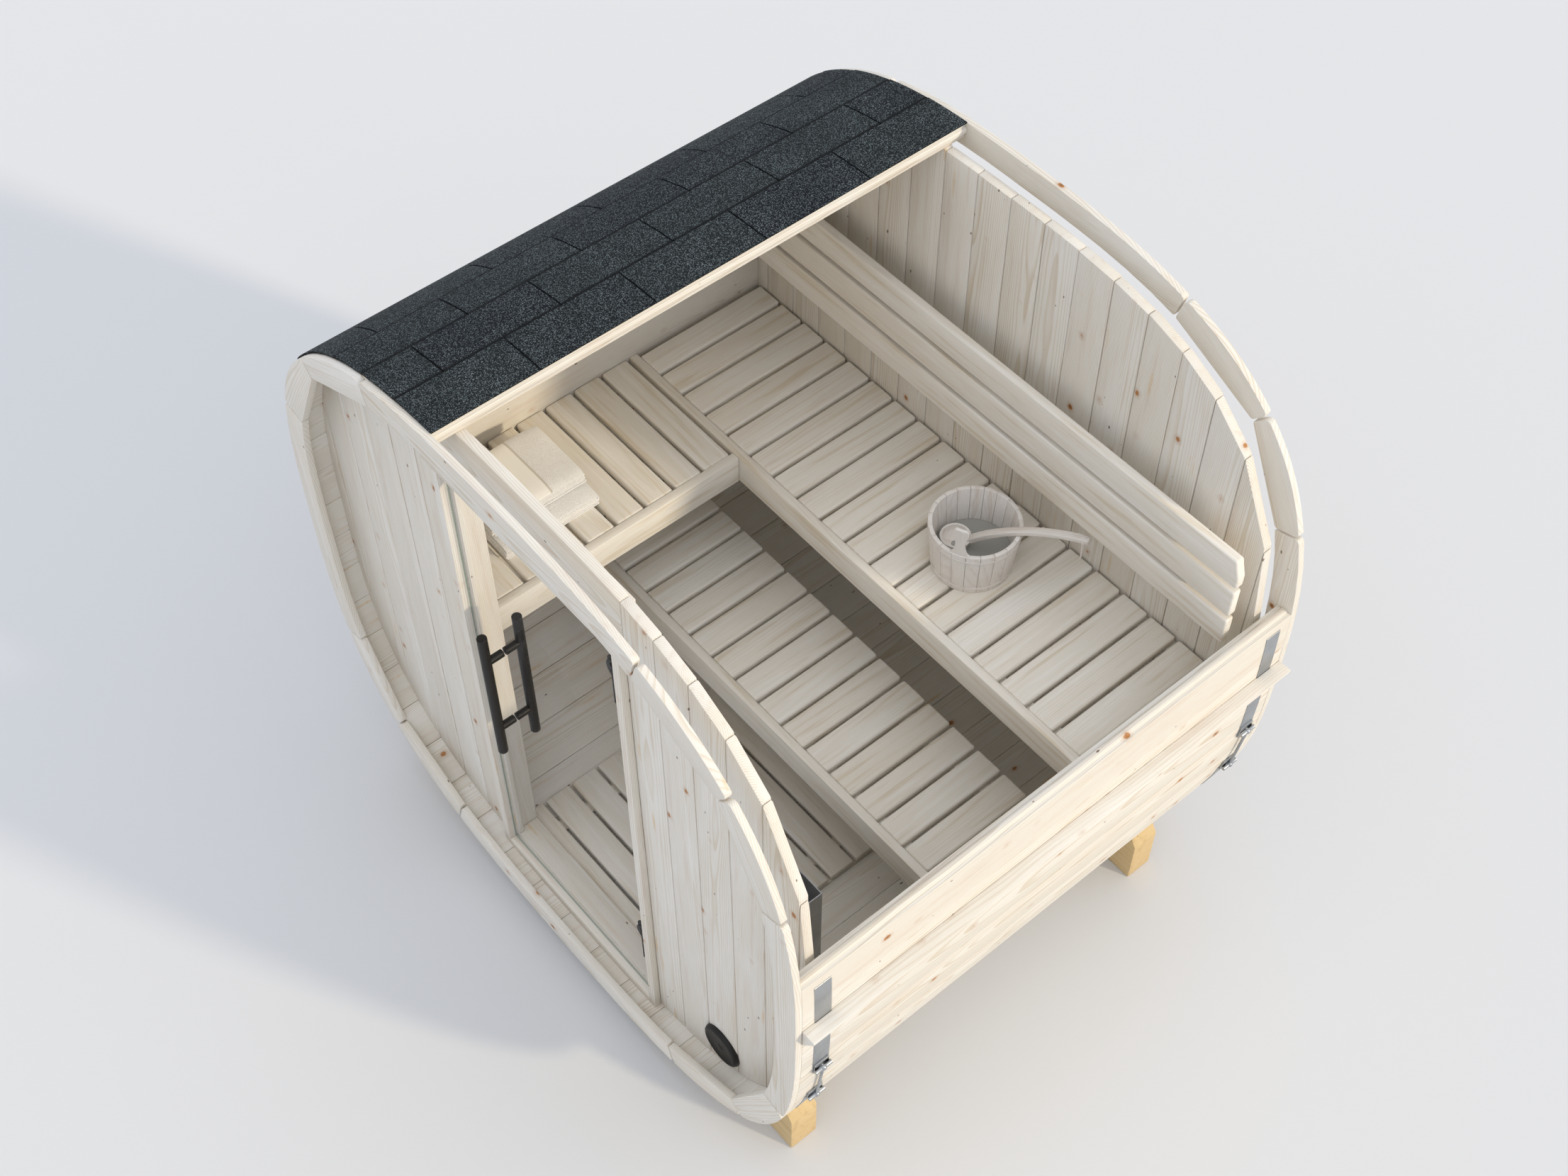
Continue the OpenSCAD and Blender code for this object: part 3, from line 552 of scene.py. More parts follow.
@dataclass(frozen=True)
class Shell:
    """The barrel's rounded-square outline in the XZ plane, in metres."""

    half_w: float = 1.025
    half_h: float = 0.99
    power: float = 2.9
    centre_z: float = 1.06
    stave_t: float = 0.045
    seat: float = 0.0003
    roof_edge: float = 0.235
    top_steps: int = 720

    def point(self, angle: float, inset: float) -> Pair:
        """A point of the outline.

        Args:
            angle: Polar angle in radians.
            inset: Distance inwards along the outline's normal.

        Returns:
            X, and Z over the ground.
        """
        c, s = math.cos(angle), math.sin(angle)
        n = self.power
        r = ((abs(c) / self.half_w) ** n + (abs(s) / self.half_h) ** n) ** (-1 / n)
        sx = math.copysign((abs(c) / self.half_w) ** (n - 1) / self.half_w, c)
        sz = math.copysign((abs(s) / self.half_h) ** (n - 1) / self.half_h, s)
        size = math.hypot(sx, sz)
        return r * c - inset * sx / size, self.centre_z + r * s - inset * sz / size

    def rise(self, x: float) -> float:
        """Height of the outline over its centre at x."""
        return self.half_h * (1 - (abs(x) / self.half_w) ** self.power) ** (1 / self.power)

    def top(self, x: float) -> float:
        """Height of the room's upper outline over the ground.

        Args:
            x: Where it is read.

        Returns:
            The height.
        """
        angles = [math.pi * i / self.top_steps for i in range(self.top_steps + 1)]
        points = sorted(self.point(a, self.stave_t + self.seat) for a in angles)
        return float(np.interp(x, *zip(*points)))


@dataclass
class Patch:
    """Vertices, faces and attributes gathered for one piece."""

    rng: random.Random
    verts: List[List[float]] = field(default_factory=list)
    faces: List[List[int]] = field(default_factory=list)
    grain: List[Tuple[float, float, float]] = field(default_factory=list)
    tone: List[float] = field(default_factory=list)
    mark: List[float] = field(default_factory=list)

    def add(self, bm: Solid, along: Optional[Vector] = None) -> None:
        """Adds a solid with its own grain and tone, and frees it.

        Args:
            bm: The solid.
            along: Direction of its grain, or None for its longest direction.
        """
        points = np.array([v.co[:] for v in bm.verts])
        rel = points - points.mean(axis=0)
        if along is None:
            _, axes = np.linalg.eigh(np.cov(rel.T))
            main = axes[:, 2] * np.sign(axes[np.argmax(np.abs(axes[:, 2])), 2])
        else:
            main = np.array(along[:])
        helper = np.eye(3)[2 if abs(main[2]) < 0.8 else 1]
        side = np.cross(main, helper)
        side /= np.linalg.norm(side)
        lean = self.rng.uniform(-GRAIN_LEAN, GRAIN_LEAN)
        reach = self.rng.uniform(*GRAIN_HEART)
        turn = self.rng.uniform(0, 2 * math.pi)
        start = self.rng.uniform(0, GRAIN_SHIFT)
        tone = self.rng.random()
        u = rel @ main
        v = rel @ side + reach * math.cos(turn) + lean * u
        w = rel @ np.cross(main, side) + reach * math.sin(turn)
        base = len(self.verts)
        self.verts += points.tolist()
        self.grain += [(float(a) + start, float(b), float(c)) for a, b, c in zip(u, v, w)]
        self.tone += [tone] * len(points)
        layer = bm.verts.layers.float.get("mark")
        self.mark += [v[layer] if layer else 0.0 for v in bm.verts]
        bm.verts.index_update()
        self.faces += [[base + v.index for v in f.verts] for f in bm.faces]
        bm.free()

    def piece(self, name: str, finish: Finish, node: str = "", body: Body = Body.CABIN) -> bpy.types.Object:
        """Makes the gathered solids into one piece of the model.

        Args:
            name: The piece's name.
            finish: Its finish.
            node: CAD node that it stands for, if any.
            body: CAD body that it rides on.

        Returns:
            The new object.
        """
        mesh = bpy.data.meshes.new(name)
        mesh.from_pydata(self.verts, [], self.faces)
        for key, kind, slot, data in (("grain", "FLOAT_VECTOR", "vector", self.grain),
                                      ("tone", "FLOAT", "value", self.tone),
                                      ("mark", "FLOAT", "value", self.mark)):
            layer = mesh.attributes.new(key, kind, "POINT")
            layer.data.foreach_set(slot, np.array(data, dtype=np.float32).ravel())
        mesh.polygons.foreach_set("use_smooth", [True] * len(mesh.polygons))
        mesh.set_sharp_from_angle(angle=SMOOTH_BELOW)
        mesh.materials.append(finish.material())
        mesh.update()
        made = bpy.data.objects.new(name, mesh)
        bpy.context.scene.collection.objects.link(made)
        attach(made, body.value)
        if node:
            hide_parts(node)
        LOG.info("%s: %d faces", name, len(mesh.polygons))
        return made


def middle(solid: Solid) -> Tuple[float, ...]:
    """A solid's mean point, rounded so that solids always sort the same way."""
    mean = sum((v.co for v in solid.verts), Vector()) / len(solid.verts)
    return tuple(round(c, 4) for c in mean)


def node_solids(name: str) -> List[Solid]:
    """The separate solids of a CAD node, with flat faces joined again.

    Args:
        name: The node's name.

    Returns:
        One mesh for each solid, in the shared frame.
    """
    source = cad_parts[name]
    bm = bmesh.new()
    bm.from_mesh(source.data)
    bm.transform(source.matrix_world)
    bmesh.ops.remove_doubles(bm, verts=bm.verts[:], dist=WELD)
    seen: Set[bmesh.types.BMVert] = set()
    solids: List[Solid] = []
    for first in bm.verts:
        if first in seen:
            continue
        seen.add(first)
        group, todo = [], [first]
        while todo:
            here = todo.pop()
            group.append(here)
            for edge in here.link_edges:
                other = edge.other_vert(here)
                if other not in seen:
                    seen.add(other)
                    todo.append(other)
        made = bmesh.new()
        twin = {v: made.verts.new(v.co) for v in group}
        for face in dict.fromkeys(f for v in group for f in v.link_faces):
            made.faces.new([twin[v] for v in face.verts])
        bmesh.ops.recalc_face_normals(made, faces=made.faces[:])
        bmesh.ops.dissolve_limit(made, angle_limit=FLAT_BELOW, verts=made.verts[:], edges=made.edges[:])
        solids.append(made)
    bm.free()
    return sorted(solids, key=middle)


def cut(bm: Solid, at: Vector, away: Vector) -> None:
    """Cuts a solid by a plane and closes the cut.

    Args:
        bm: The solid, changed in place.
        at: A point of the plane.
        away: Direction of the part that goes.
    """
    geom = bm.verts[:] + bm.edges[:] + bm.faces[:]
    done = bmesh.ops.bisect_plane(bm, geom=geom, dist=1e-6, plane_co=at, plane_no=away, clear_outer=True)
    rim = [e for e in done["geom_cut"] if isinstance(e, bmesh.types.BMEdge) and e.is_boundary]
    if rim:
        bmesh.ops.holes_fill(bm, edges=rim, sides=0)
        bmesh.ops.recalc_face_normals(bm, faces=bm.faces[:])


def bevel(bm: Solid, edges: Sequence[bmesh.types.BMEdge], width: float, steps: int) -> None:
    """Rounds some edges of a solid."""
    bmesh.ops.bevel(bm, geom=edges, offset=width, segments=steps, profile=0.5, affect="EDGES",
                    clamp_overlap=True)


def soften(bm: Solid, width: float, steps: int = 2) -> Solid:
    """Rounds a solid's sharp edges.

    Args:
        bm: The solid, changed in place.
        width: Width of the rounding.
        steps: Segments of the rounding.

    Returns:
        The same solid.
    """
    bmesh.ops.remove_doubles(bm, verts=bm.verts[:], dist=SHORT_EDGE)
    bmesh.ops.dissolve_limit(bm, angle_limit=FLAT_BELOW, verts=bm.verts[:], edges=bm.edges[:])
    hard = [e for e in bm.edges if len(e.link_faces) == 2 and e.calc_face_angle(0.0) > HARD_EDGE]
    if hard:
        bevel(bm, hard, width, steps)
    return bm


def around(steps: int) -> List[float]:
    """Equal angles round a circle."""
    return [2 * math.pi * i / steps for i in range(steps)]


def turned(profile: Sequence[Pair], at: Vector, along: Vector, steps: int = 40) -> Solid:
    """A turned solid.

    Args:
        profile: Radius and height of each point, both ends at radius zero.
        at: Where height zero is.
        along: Direction of its axis.
        steps: Segments round the axis.

    Returns:
        The closed solid.
    """
    bm = bmesh.new()
    spin = Z_AXIS.rotation_difference(along)
    rings = []
    for radius, height in profile:
        angles = around(steps) if radius > 0 else [0.0]
        rings.append([bm.verts.new(at + spin @ Vector((radius * math.cos(a), radius * math.sin(a), height)))
                      for a in angles])
    for low, high in zip(rings, rings[1:]):
        for i in range(steps):
            j = (i + 1) % steps
            corners = [low[i % len(low)], low[j % len(low)], high[j % len(high)], high[i % len(high)]]
            bm.faces.new(list(dict.fromkeys(corners)))
    bmesh.ops.recalc_face_normals(bm, faces=bm.faces[:])
    return bm


def skin(rows: Sequence[Sequence[Sequence[float]]], ends: Ends = Ends.CAPS,
         marks: Sequence[Sequence[float]] = ()) -> Solid:
    """A closed solid through rows of points, each row a loop round it.

    Args:
        rows: The loops, all of the same number of points.
        ends: How the first and the last loop are closed.
        marks: The mark of each point, row by row, or nothing for none.

    Returns:
        The solid.
    """
    bm = bmesh.new()
    layer = bm.verts.layers.float.new("mark")
    loops = [[bm.verts.new(p) for p in row] for row in rows]
    for loop, values in zip(loops, marks):
        for v, value in zip(loop, values):
            v[layer] = value
    count = len(loops[0])
    joined = loops + loops[:1] if ends is Ends.JOINED else loops
    for a, b in zip(joined, joined[1:]):
        for i in range(count):
            j = (i + 1) % count
            bm.faces.new((a[i], a[j], b[j], b[i]))
    for loop in (loops[0], loops[-1]):
        if ends is Ends.CAPS:
            bm.faces.new(loop)
        elif ends is Ends.STRIPS:
            for i in range(count // 2 - 1):
                bm.faces.new((loop[i], loop[i + 1], loop[-2 - i], loop[-1 - i]))
    bmesh.ops.recalc_face_normals(bm, faces=bm.faces[:])
    return bm


def aim(made: bpy.types.Object, ahead: Vector) -> None:
    """Links a camera or lamp to the scene and turns it to look along a direction.

    Args:
        made: The camera or lamp.
        ahead: The direction.
    """
    made.rotation_mode = "QUATERNION"
    made.rotation_quaternion = ahead.to_track_quat("-Z", "Y")
    bpy.context.scene.collection.objects.link(made)


@dataclass
class Assembly:
    """A sub-assembly, with the source of random numbers that all of them share."""

    rng: random.Random

    def build(self) -> None:
        """Builds and dresses the pieces."""
        raise NotImplementedError

    def copy(self, piece: str, node: str, finish: Finish, edge: float, along: Optional[Vector] = None,
             steps: int = 2, body: Body = Body.CABIN) -> bpy.types.Object:
        """A piece made of one CAD node's solids, with eased edges.

        Args:
            piece: The piece's name.
            node: CAD node that it stands for.
            finish: Its finish.
            edge: Width of the eased edges.
            along: Direction of the grain, or None for each solid's longest direction.
            steps: Segments of the eased edges.
            body: CAD body that it rides on.

        Returns:
            The new object.
        """
        patch = Patch(self.rng)
        for solid in node_solids(node):
            patch.add(soften(solid, edge, steps), along)
        return patch.piece(piece, finish, node, body)


@dataclass
class Cradles(Assembly):
    """Two beams that carry the barrel."""

    edge: float = 0.004

    def build(self) -> None:
        """Builds and dresses both beams."""
        for side in ("front", "back"):
            self.copy(f"cradle_{side}_beam", f"cradle_{side}", Finish.CRADLE, self.edge, X_AXIS)


@dataclass
class StaveShell(Assembly):
    """Staves, end rings and side battens."""

    shell: Shell = Shell()
    stave_edge: float = 0.0032
    ring_edge: float = 0.0035
    ring_round: float = 0.013
    ring_steps: int = 5
    ring_gap: float = 0.0025
    batten_edge: float = 0.004
    bead_edge: float = 0.0012
    groups: Tuple[str, ...] = ("floor", "right_corner", "left_corner", "left_side", "left_shoulder")
    bead: Pairs = ((0, 0.007), (0.26, 0.007), (0.3, 0.003), (0.37, 0.0008), (0.5, 0), (0.63, 0.0008),
                   (0.7, 0.003), (0.74, 0.007), (1, 0.007))

    def beaded(self, solid: Solid, open_way: Vector) -> Solid:
        """The stave at the open edge, with its tongue.

        Args:
            solid: The plain stave, freed here.
            open_way: Direction in which its open side lies.

        Returns:
            The stave with shoulders beside a rounded tongue.
        """
        y0, y1 = min(v.co.y for v in solid.verts), max(v.co.y for v in solid.verts)
        ring = [Vector((v.co.x, 0, v.co.z)) for v in solid.verts if v.co.y < y0 + 1e-4]
        solid.free()
        mid = sum(ring, Vector()) / len(ring)
        ring.sort(key=lambda p: math.atan2(p.z - mid.z, p.x - mid.x))
        sides = list(zip(ring, ring[1:] + ring[:1]))
        a, b = max(sides, key=lambda s: ((s[0] + s[1]) / 2 - mid).dot(open_way))
        at = ring.index(a)
        square = Vector((b.z - a.z, 0, a.x - b.x)).normalized()
        inward = square if square.dot(mid - a) > 0 else -square
        edge = [a.lerp(b, t) + inward * d for t, d in self.bead]
        loop = edge + [ring[(at + 2 + i) % len(ring)] for i in range(len(ring) - 2)]
        return soften(skin([[(p.x, y, p.z) for p in loop] for y in (y0, y1)]), self.bead_edge, 1)

    def ring(self, side: str) -> None:
        """The trim ring of one end, its pieces rounded where they meet.

        Args:
            side: Which end.
        """
        patch = Patch(self.rng)
        for solid in node_solids(f"{side}_ring"):
            # The mitred faces point neither along the barrel nor in or out.
            ends = []
            for face in solid.faces:
                at = face.calc_center_median()
                out = Vector((at.x, 0, at.z - self.shell.centre_z)).normalized()
                if abs(face.normal.y) < 0.1 and abs(face.normal.dot(out)) < 0.5:
                    ends.append((at, face.normal.copy()))
            for at, away in ends:
                cut(solid, at - away * self.ring_gap, away)
            corners = [e for e in solid.edges if abs((e.verts[0].co - e.verts[1].co).normalized().y) > 0.99
                       and any(f.normal.dot(away) > 0.999 for f in e.link_faces for _, away in ends)]
            bevel(solid, corners, self.ring_round, self.ring_steps)
            patch.add(soften(solid, self.ring_edge))
        patch.piece(f"{side}_ring_pieces", Finish.SPRUCE, f"{side}_ring")

    def build(self) -> None:
        """Builds and dresses the shell."""
        for group in self.groups:
            self.copy(f"{group}_boards", f"{group}_staves", Finish.SPRUCE, self.stave_edge, Y_AXIS)
        for group, way in (("right_side", Z_AXIS), ("roof", X_AXIS)):
            solids = sorted(node_solids(f"{group}_staves"), key=lambda s: max(v.co.dot(way) for v in s.verts))
            patch = Patch(self.rng)
            patch.add(self.beaded(solids.pop(), way), Y_AXIS)
            for solid in solids:
                patch.add(soften(solid, self.stave_edge), Y_AXIS)
            patch.piece(f"{group}_boards", Finish.SPRUCE, f"{group}_staves")
        for side in ("front", "back"):
            self.ring(side)
        for side in ("left", "right"):
            self.copy(f"batten_{side}_bar", f"batten_{side}", Finish.SPRUCE, self.batten_edge, Y_AXIS)


@dataclass
class ShingleRoof(Assembly):
    """Courses of shingle tabs over the left of the roof."""

    shell: Shell = Shell()
    half_len: float = 0.8
    batten_z: float = 0.0465
    exposure: float = 0.143
    overlap: float = 0.024
    tab: float = 0.328
    starts: Tuple[float, ...] = (0.154, -0.01, 0.15, -0.02)
    slot: float = 0.005
    felt: float = 0.0004
    low: float = 0.0026
    lap: float = 0.0044
    high: float = 0.0062
    tuck: float = 0.0003
    # Painted shadow: shade is the width of the dark strip under the course above, and fade is the width over
    # which it fades out.
    shade: float = 0.008
    fade: float = 0.0064
    lap_step: Pair = (1.1, 1.02)
    steps: int = 9
    path_steps: int = 800
    felt_stride: int = 16

    def path(self) -> Tuple[np.ndarray, np.ndarray]:
        """The outline from the roof's open edge down to the batten.

        Returns:
            Arc lengths and polar angles.
        """
        shell = self.shell
        upper = math.pi - math.atan2(shell.rise(shell.roof_edge), shell.roof_edge)
        lower = math.pi - math.atan2(self.batten_z, shell.half_w)
        angles = np.linspace(upper, lower, self.path_steps + 1)
        points = np.array([shell.point(a, 0) for a in angles])
        parts = np.linalg.norm(np.diff(points, axis=0), axis=1)
        return np.concatenate(([0.0], np.cumsum(parts))), angles

    def plate(self, rows: Sequence[Tuple[float, ...]], y0: float, y1: float) -> Solid:
        """A closed plate that follows the roof's curve.

        Args:
            rows: Polar angle, outer offset, inner offset and shade of each row.
            y0: Its front end.
            y1: Its back end.

        Returns:
            The plate.
        """
        loops = []
        for angle, outer, inner, _ in rows:
            (x0, z0), (x1, z1) = self.shell.point(angle, -outer), self.shell.point(angle, -inner)
            loops.append([(x0, y0, z0), (x0, y1, z0), (x1, y1, z1), (x1, y0, z1)])
        return skin(loops, marks=[[row[3]] * 4 for row in rows])

    def tab_rows(self, k: int, lengths: np.ndarray, angles: np.ndarray) -> List[Tuple[float, ...]]:
        """Rows of one course's tabs.

        Args:
            k: Number of the course, from the open edge down.
            lengths: Arc lengths along the roof.
            angles: Polar angles at those lengths.

        Returns:
            Angle, outer offset, inner offset and shade of each row.
        """
        total = float(lengths[-1])
        bare = k * self.exposure
        end = min(bare + self.exposure, total)
        start = max(bare - self.overlap, 0.0)
        dark_end = bare + self.shade
        marks = {start, bare, dark_end, dark_end + self.fade}
        marks |= {bare + (end - bare) * i / self.steps for i in range(1, self.steps + 1)}
        lap_start = total
        if end < total:
            before, lap_start = (end - self.overlap * share for share in self.lap_step)
            marks |= {before, lap_start}
        rows = []
        for s in sorted(marks):
            share = (s - start) / (end - start)
            outer = self.lap - self.tuck + (self.high - self.lap + self.tuck) * share
            inner = self.lap if lap_start <= s < total else self.low
            # Rows up to dark_end carry the painted shadow under the course above; the first course has none.
            dark = 1.0 if k and s <= dark_end else 0.0
            rows.append((float(np.interp(s, lengths, angles)), outer, inner, dark))
        return rows

    def build(self) -> None:
        """Builds and dresses the felt and the tabs."""
        lengths, angles = self.path()
        patch = Patch(self.rng)
        # The felt gets the full mark, so it shows the painted shadow colour through the slots.
        felt = [(a, self.low - self.felt, self.felt, 1.0) for a in angles[::self.felt_stride]]
        patch.add(self.plate(felt, -self.half_len, self.half_len), Y_AXIS)
        ahead = self.tab * (math.ceil(self.half_len / self.tab) + 1)
        for k in range(math.ceil(lengths[-1] / self.exposure)):
            rows = self.tab_rows(k, lengths, angles)
            y = self.starts[k % len(self.starts)] - ahead
            while y < self.half_len:
                y0, y1 = max(y, -self.half_len), min(y + self.tab - self.slot, self.half_len)
                if y1 > y0:
                    patch.add(self.plate(rows, y0, y1), Y_AXIS)
                y += self.tab
        patch.piece("shingle_tabs", Finish.SHINGLE, "roof_shingles")


@dataclass
class EndWalls(Assembly):
    """Vertical tongue-and-groove boards of both end walls."""

    shell: Shell = Shell()
    gap: float = 0.0018
    edge: float = 0.0042
    narrow: float = 0.01
    front_joints: Tuple[float, ...] = (0.466, 0.58, 0.70, 0.818, 0.94)
    pitch: float = 0.117
    back_joints: int = 8
    drop: Pair = (0.0005, 0.005)

    def boards(self, piece: str, node: str, joints: Sequence[float]) -> None:
        """A wall cut into boards, with straight tops on the open side.

        Args:
            piece: The piece's name.
            node: The wall's CAD node.
            joints: X of the joints between boards.
        """
        patch = Patch(self.rng)
        low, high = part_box(node)
        inside = [j for j in sorted(joints) if low[0] + self.narrow < j < high[0] - self.narrow]
        marks = [low[0], *inside, high[0]]
        for x0, x1 in zip(marks, marks[1:]):
            for solid in node_solids(node):
                if x0 > low[0]:
                    cut(solid, Vector((x0 + self.gap / 2, 0, 0)), -X_AXIS)
                if x1 < high[0]:
                    cut(solid, Vector((x1 - self.gap / 2, 0, 0)), X_AXIS)
                if x0 > -self.shell.roof_edge:
                    z0, z1 = self.shell.top(x0), self.shell.top(x1)
                    drop = self.rng.uniform(*self.drop)
                    cut(solid, Vector((x0, 0, z0 - drop)), Vector((z0 - z1, 0, x1 - x0)).normalized())
                patch.add(soften(solid, self.edge), Z_AXIS)
        patch.piece(piece, Finish.SPRUCE, node)

    def build(self) -> None:
        """Builds and dresses the walls."""
        for side, sign in (("left", -1), ("right", 1)):
            joints = [sign * j for j in self.front_joints]
            self.boards(f"front_boards_{side}", f"front_wall_{side}", joints)
        self.copy("front_header_board", "front_wall_header", Finish.SPRUCE, self.edge, X_AXIS)
        count = self.back_joints
        self.boards("back_boards", "back_wall", [self.pitch * i for i in range(-count, count + 1)])


@dataclass
class Straps(Assembly):
    """Steel straps and their tensioners."""

    edge: float = 0.0004

    def build(self) -> None:
        """Builds and dresses the straps."""
        for name in ("strap_front", "strap_back", "strap_tensioners"):
            self.copy(f"{name}_steel", name, Finish.STRAP, self.edge, steps=1)


@dataclass
class DoorFrame(Assembly):
    """Jambs, head and sill of the doorway."""

    edge: float = 0.0022

    def build(self) -> None:
        """Builds and dresses the frame."""
        for piece, node, along in (("jamb_left", "door_jamb_left", Z_AXIS),
                                   ("jamb_right", "door_jamb_right", Z_AXIS),
                                   ("head_casing", "door_head", X_AXIS),
                                   ("sill_boards", "door_sill", X_AXIS)):
            self.copy(piece, node, Finish.SPRUCE, self.edge, along)


@dataclass
class GlassDoor(Assembly):
    """Glass door with pull bars and hinges."""

    bar_x: float = -0.197
    bar_z: float = 1.074
    bar_r: float = 0.0135
    bar_len: float = 0.5
    span: float = 0.105
    pitch: float = 0.292
    post_r: float = 0.0112
    post_sink: float = 0.55
    glass_y: float = -0.741
    glass_t: float = 0.006
    glass_edge: float = 0.0009
    chamfer: float = 0.0012
    groove: float = 0.0008
    clamp_edge: float = 0.0006
    clamp_t: float = 0.006
    leaf_edge: float = 0.0005
    screw_in: float = 0.017
    screw_apart: float = 0.028
    screw_steps: int = 20
    screw: Pairs = ((0, -0.001), (0.0042, -0.001), (0.0042, 0.0002), (0.003, 0.001), (0.0014, 0.0011),
                    (0.0012, 0.0004), (0, 0.0004))

    def pane(self) -> None:
        """The glass, with its polished edge marked."""
        made = self.copy("door_pane", "door_glass", Finish.GLASS, self.glass_edge, body=Body.DOOR)
        rim = made.data.attributes.new("rim", "FLOAT", "FACE")
        rim.data.foreach_set("value", [1.0 if abs(f.normal.y) < 0.9 else 0.0 for f in made.data.polygons])

    def bars(self) -> None:
        """Two pull bars on turned posts that meet at the glass."""
        patch = Patch(self.rng)
        half, wide, slim, edge, notch = self.bar_len / 2, self.bar_r, self.post_r, self.chamfer, self.groove
        reach = self.span / 2 - self.glass_t / 2 - wide * self.post_sink
        bar = [(0, -half), (wide - edge, -half), (wide, -half + edge), (wide, half - edge),
               (wide - edge, half), (0, half)]
        post = [(0, 0), (slim - edge, 0), (slim, edge), (slim, 3 * notch), (slim - notch, 3.4 * notch),
                (slim - notch, 4.6 * notch), (slim, 5 * notch), (slim, reach), (0, reach)]
        for face in (-1, 1):
            at = Vector((self.bar_x, self.glass_y + face * self.span / 2, self.bar_z))
            patch.add(turned(bar, at, Z_AXIS))
            for end in (-1, 1):
                at = Vector((self.bar_x, self.glass_y + face * self.glass_t / 2,
                             self.bar_z + end * self.pitch / 2))
                patch.add(turned(post, at, Y_AXIS * face))
        patch.piece("pull_bars", Finish.DARK, "door_handle", Body.DOOR)

    def hinges(self) -> None:
        """Clamps on the glass with screw heads, and the leaves on the frame."""
        patch = Patch(self.rng)
        for solid in node_solids("door_hinges"):
            points = [v.co.copy() for v in solid.verts]
            face = -1 if min(p.y for p in points) < self.glass_y else 1
            x = min(p.x for p in points) + self.screw_in
            z = (max(p.z for p in points) + min(p.z for p in points)) / 2
            patch.add(soften(solid, self.clamp_edge))
            for end in (-1, 1):
                at = Vector((x, self.glass_y + face * self.clamp_t, z + end * self.screw_apart / 2))
                patch.add(turned(self.screw, at, Y_AXIS * face, self.screw_steps))
        patch.piece("hinge_clamps", Finish.DARK, "door_hinges", Body.DOOR)
        self.copy("hinge_leaves", "hinge_plates", Finish.DARK, self.leaf_edge, steps=1)

    def build(self) -> None:
        """Builds and dresses the door."""
        self.pane()
        self.bars()
        self.hinges()


@dataclass
class Vent(Assembly):
    """Round vent cover on the front wall.

    The rim's points are insets from its radius and shares of its depth. The knob's are radii and shares.
    """

    radius: float = 0.068
    depth: float = 0.014
    steps: int = 64
    rim: Pairs = ((0, 0), (0, 0.28), (0.003, 0.75), (0.008, 0.98), (0.012, 1), (0.015, 0.9), (0.018, 0.82))
    knob: Pairs = ((0.012, 0.9), (0.011, 0.98), (0.008, 1), (0, 1))

    def build(self) -> None:
        """Builds and dresses the cover."""
        low, high = (Vector(c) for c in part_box("vent_cover"))
        at = Vector(((low.x + high.x) / 2, high.y, (low.z + high.z) / 2))
        points = [(self.radius - inset, share) for inset, share in self.rim] + list(self.knob)
        profile = [(0, 0)] + [(radius, share * self.depth) for radius, share in points]
        patch = Patch(self.rng)
        patch.add(turned(profile, at, -Y_AXIS, self.steps))
        patch.piece("vent_cap", Finish.DARK, "vent_cover")


@dataclass
class Benches(Assembly):
    """Benches, backrest and duckboard."""

    slat_edge: float = 0.008
    slat_steps: int = 4
    beam_edge: float = 0.004
    rail_edge: float = 0.006
    rail_steps: int = 3

    def build(self) -> None:
        """Builds and dresses the benches."""
        wood = Finish.BENCH
        for bench, along in (("upper", Y_AXIS), ("left", X_AXIS), ("lower", Y_AXIS)):
            self.copy(f"{bench}_slats", f"{bench}_bench_slats", wood, self.slat_edge, along, self.slat_steps)
            self.copy(f"{bench}_beam", f"{bench}_bench_beam", wood, self.beam_edge)
        self.copy("ledgers", "bench_ledgers", wood, self.beam_edge)
        self.copy("rails", "backrest_rails", wood, self.rail_edge, X_AXIS, self.rail_steps)
        self.copy("brackets", "backrest_brackets", wood, self.beam_edge, Z_AXIS)
        self.copy("duckboard_slats", "duckboard", wood, self.beam_edge, X_AXIS)


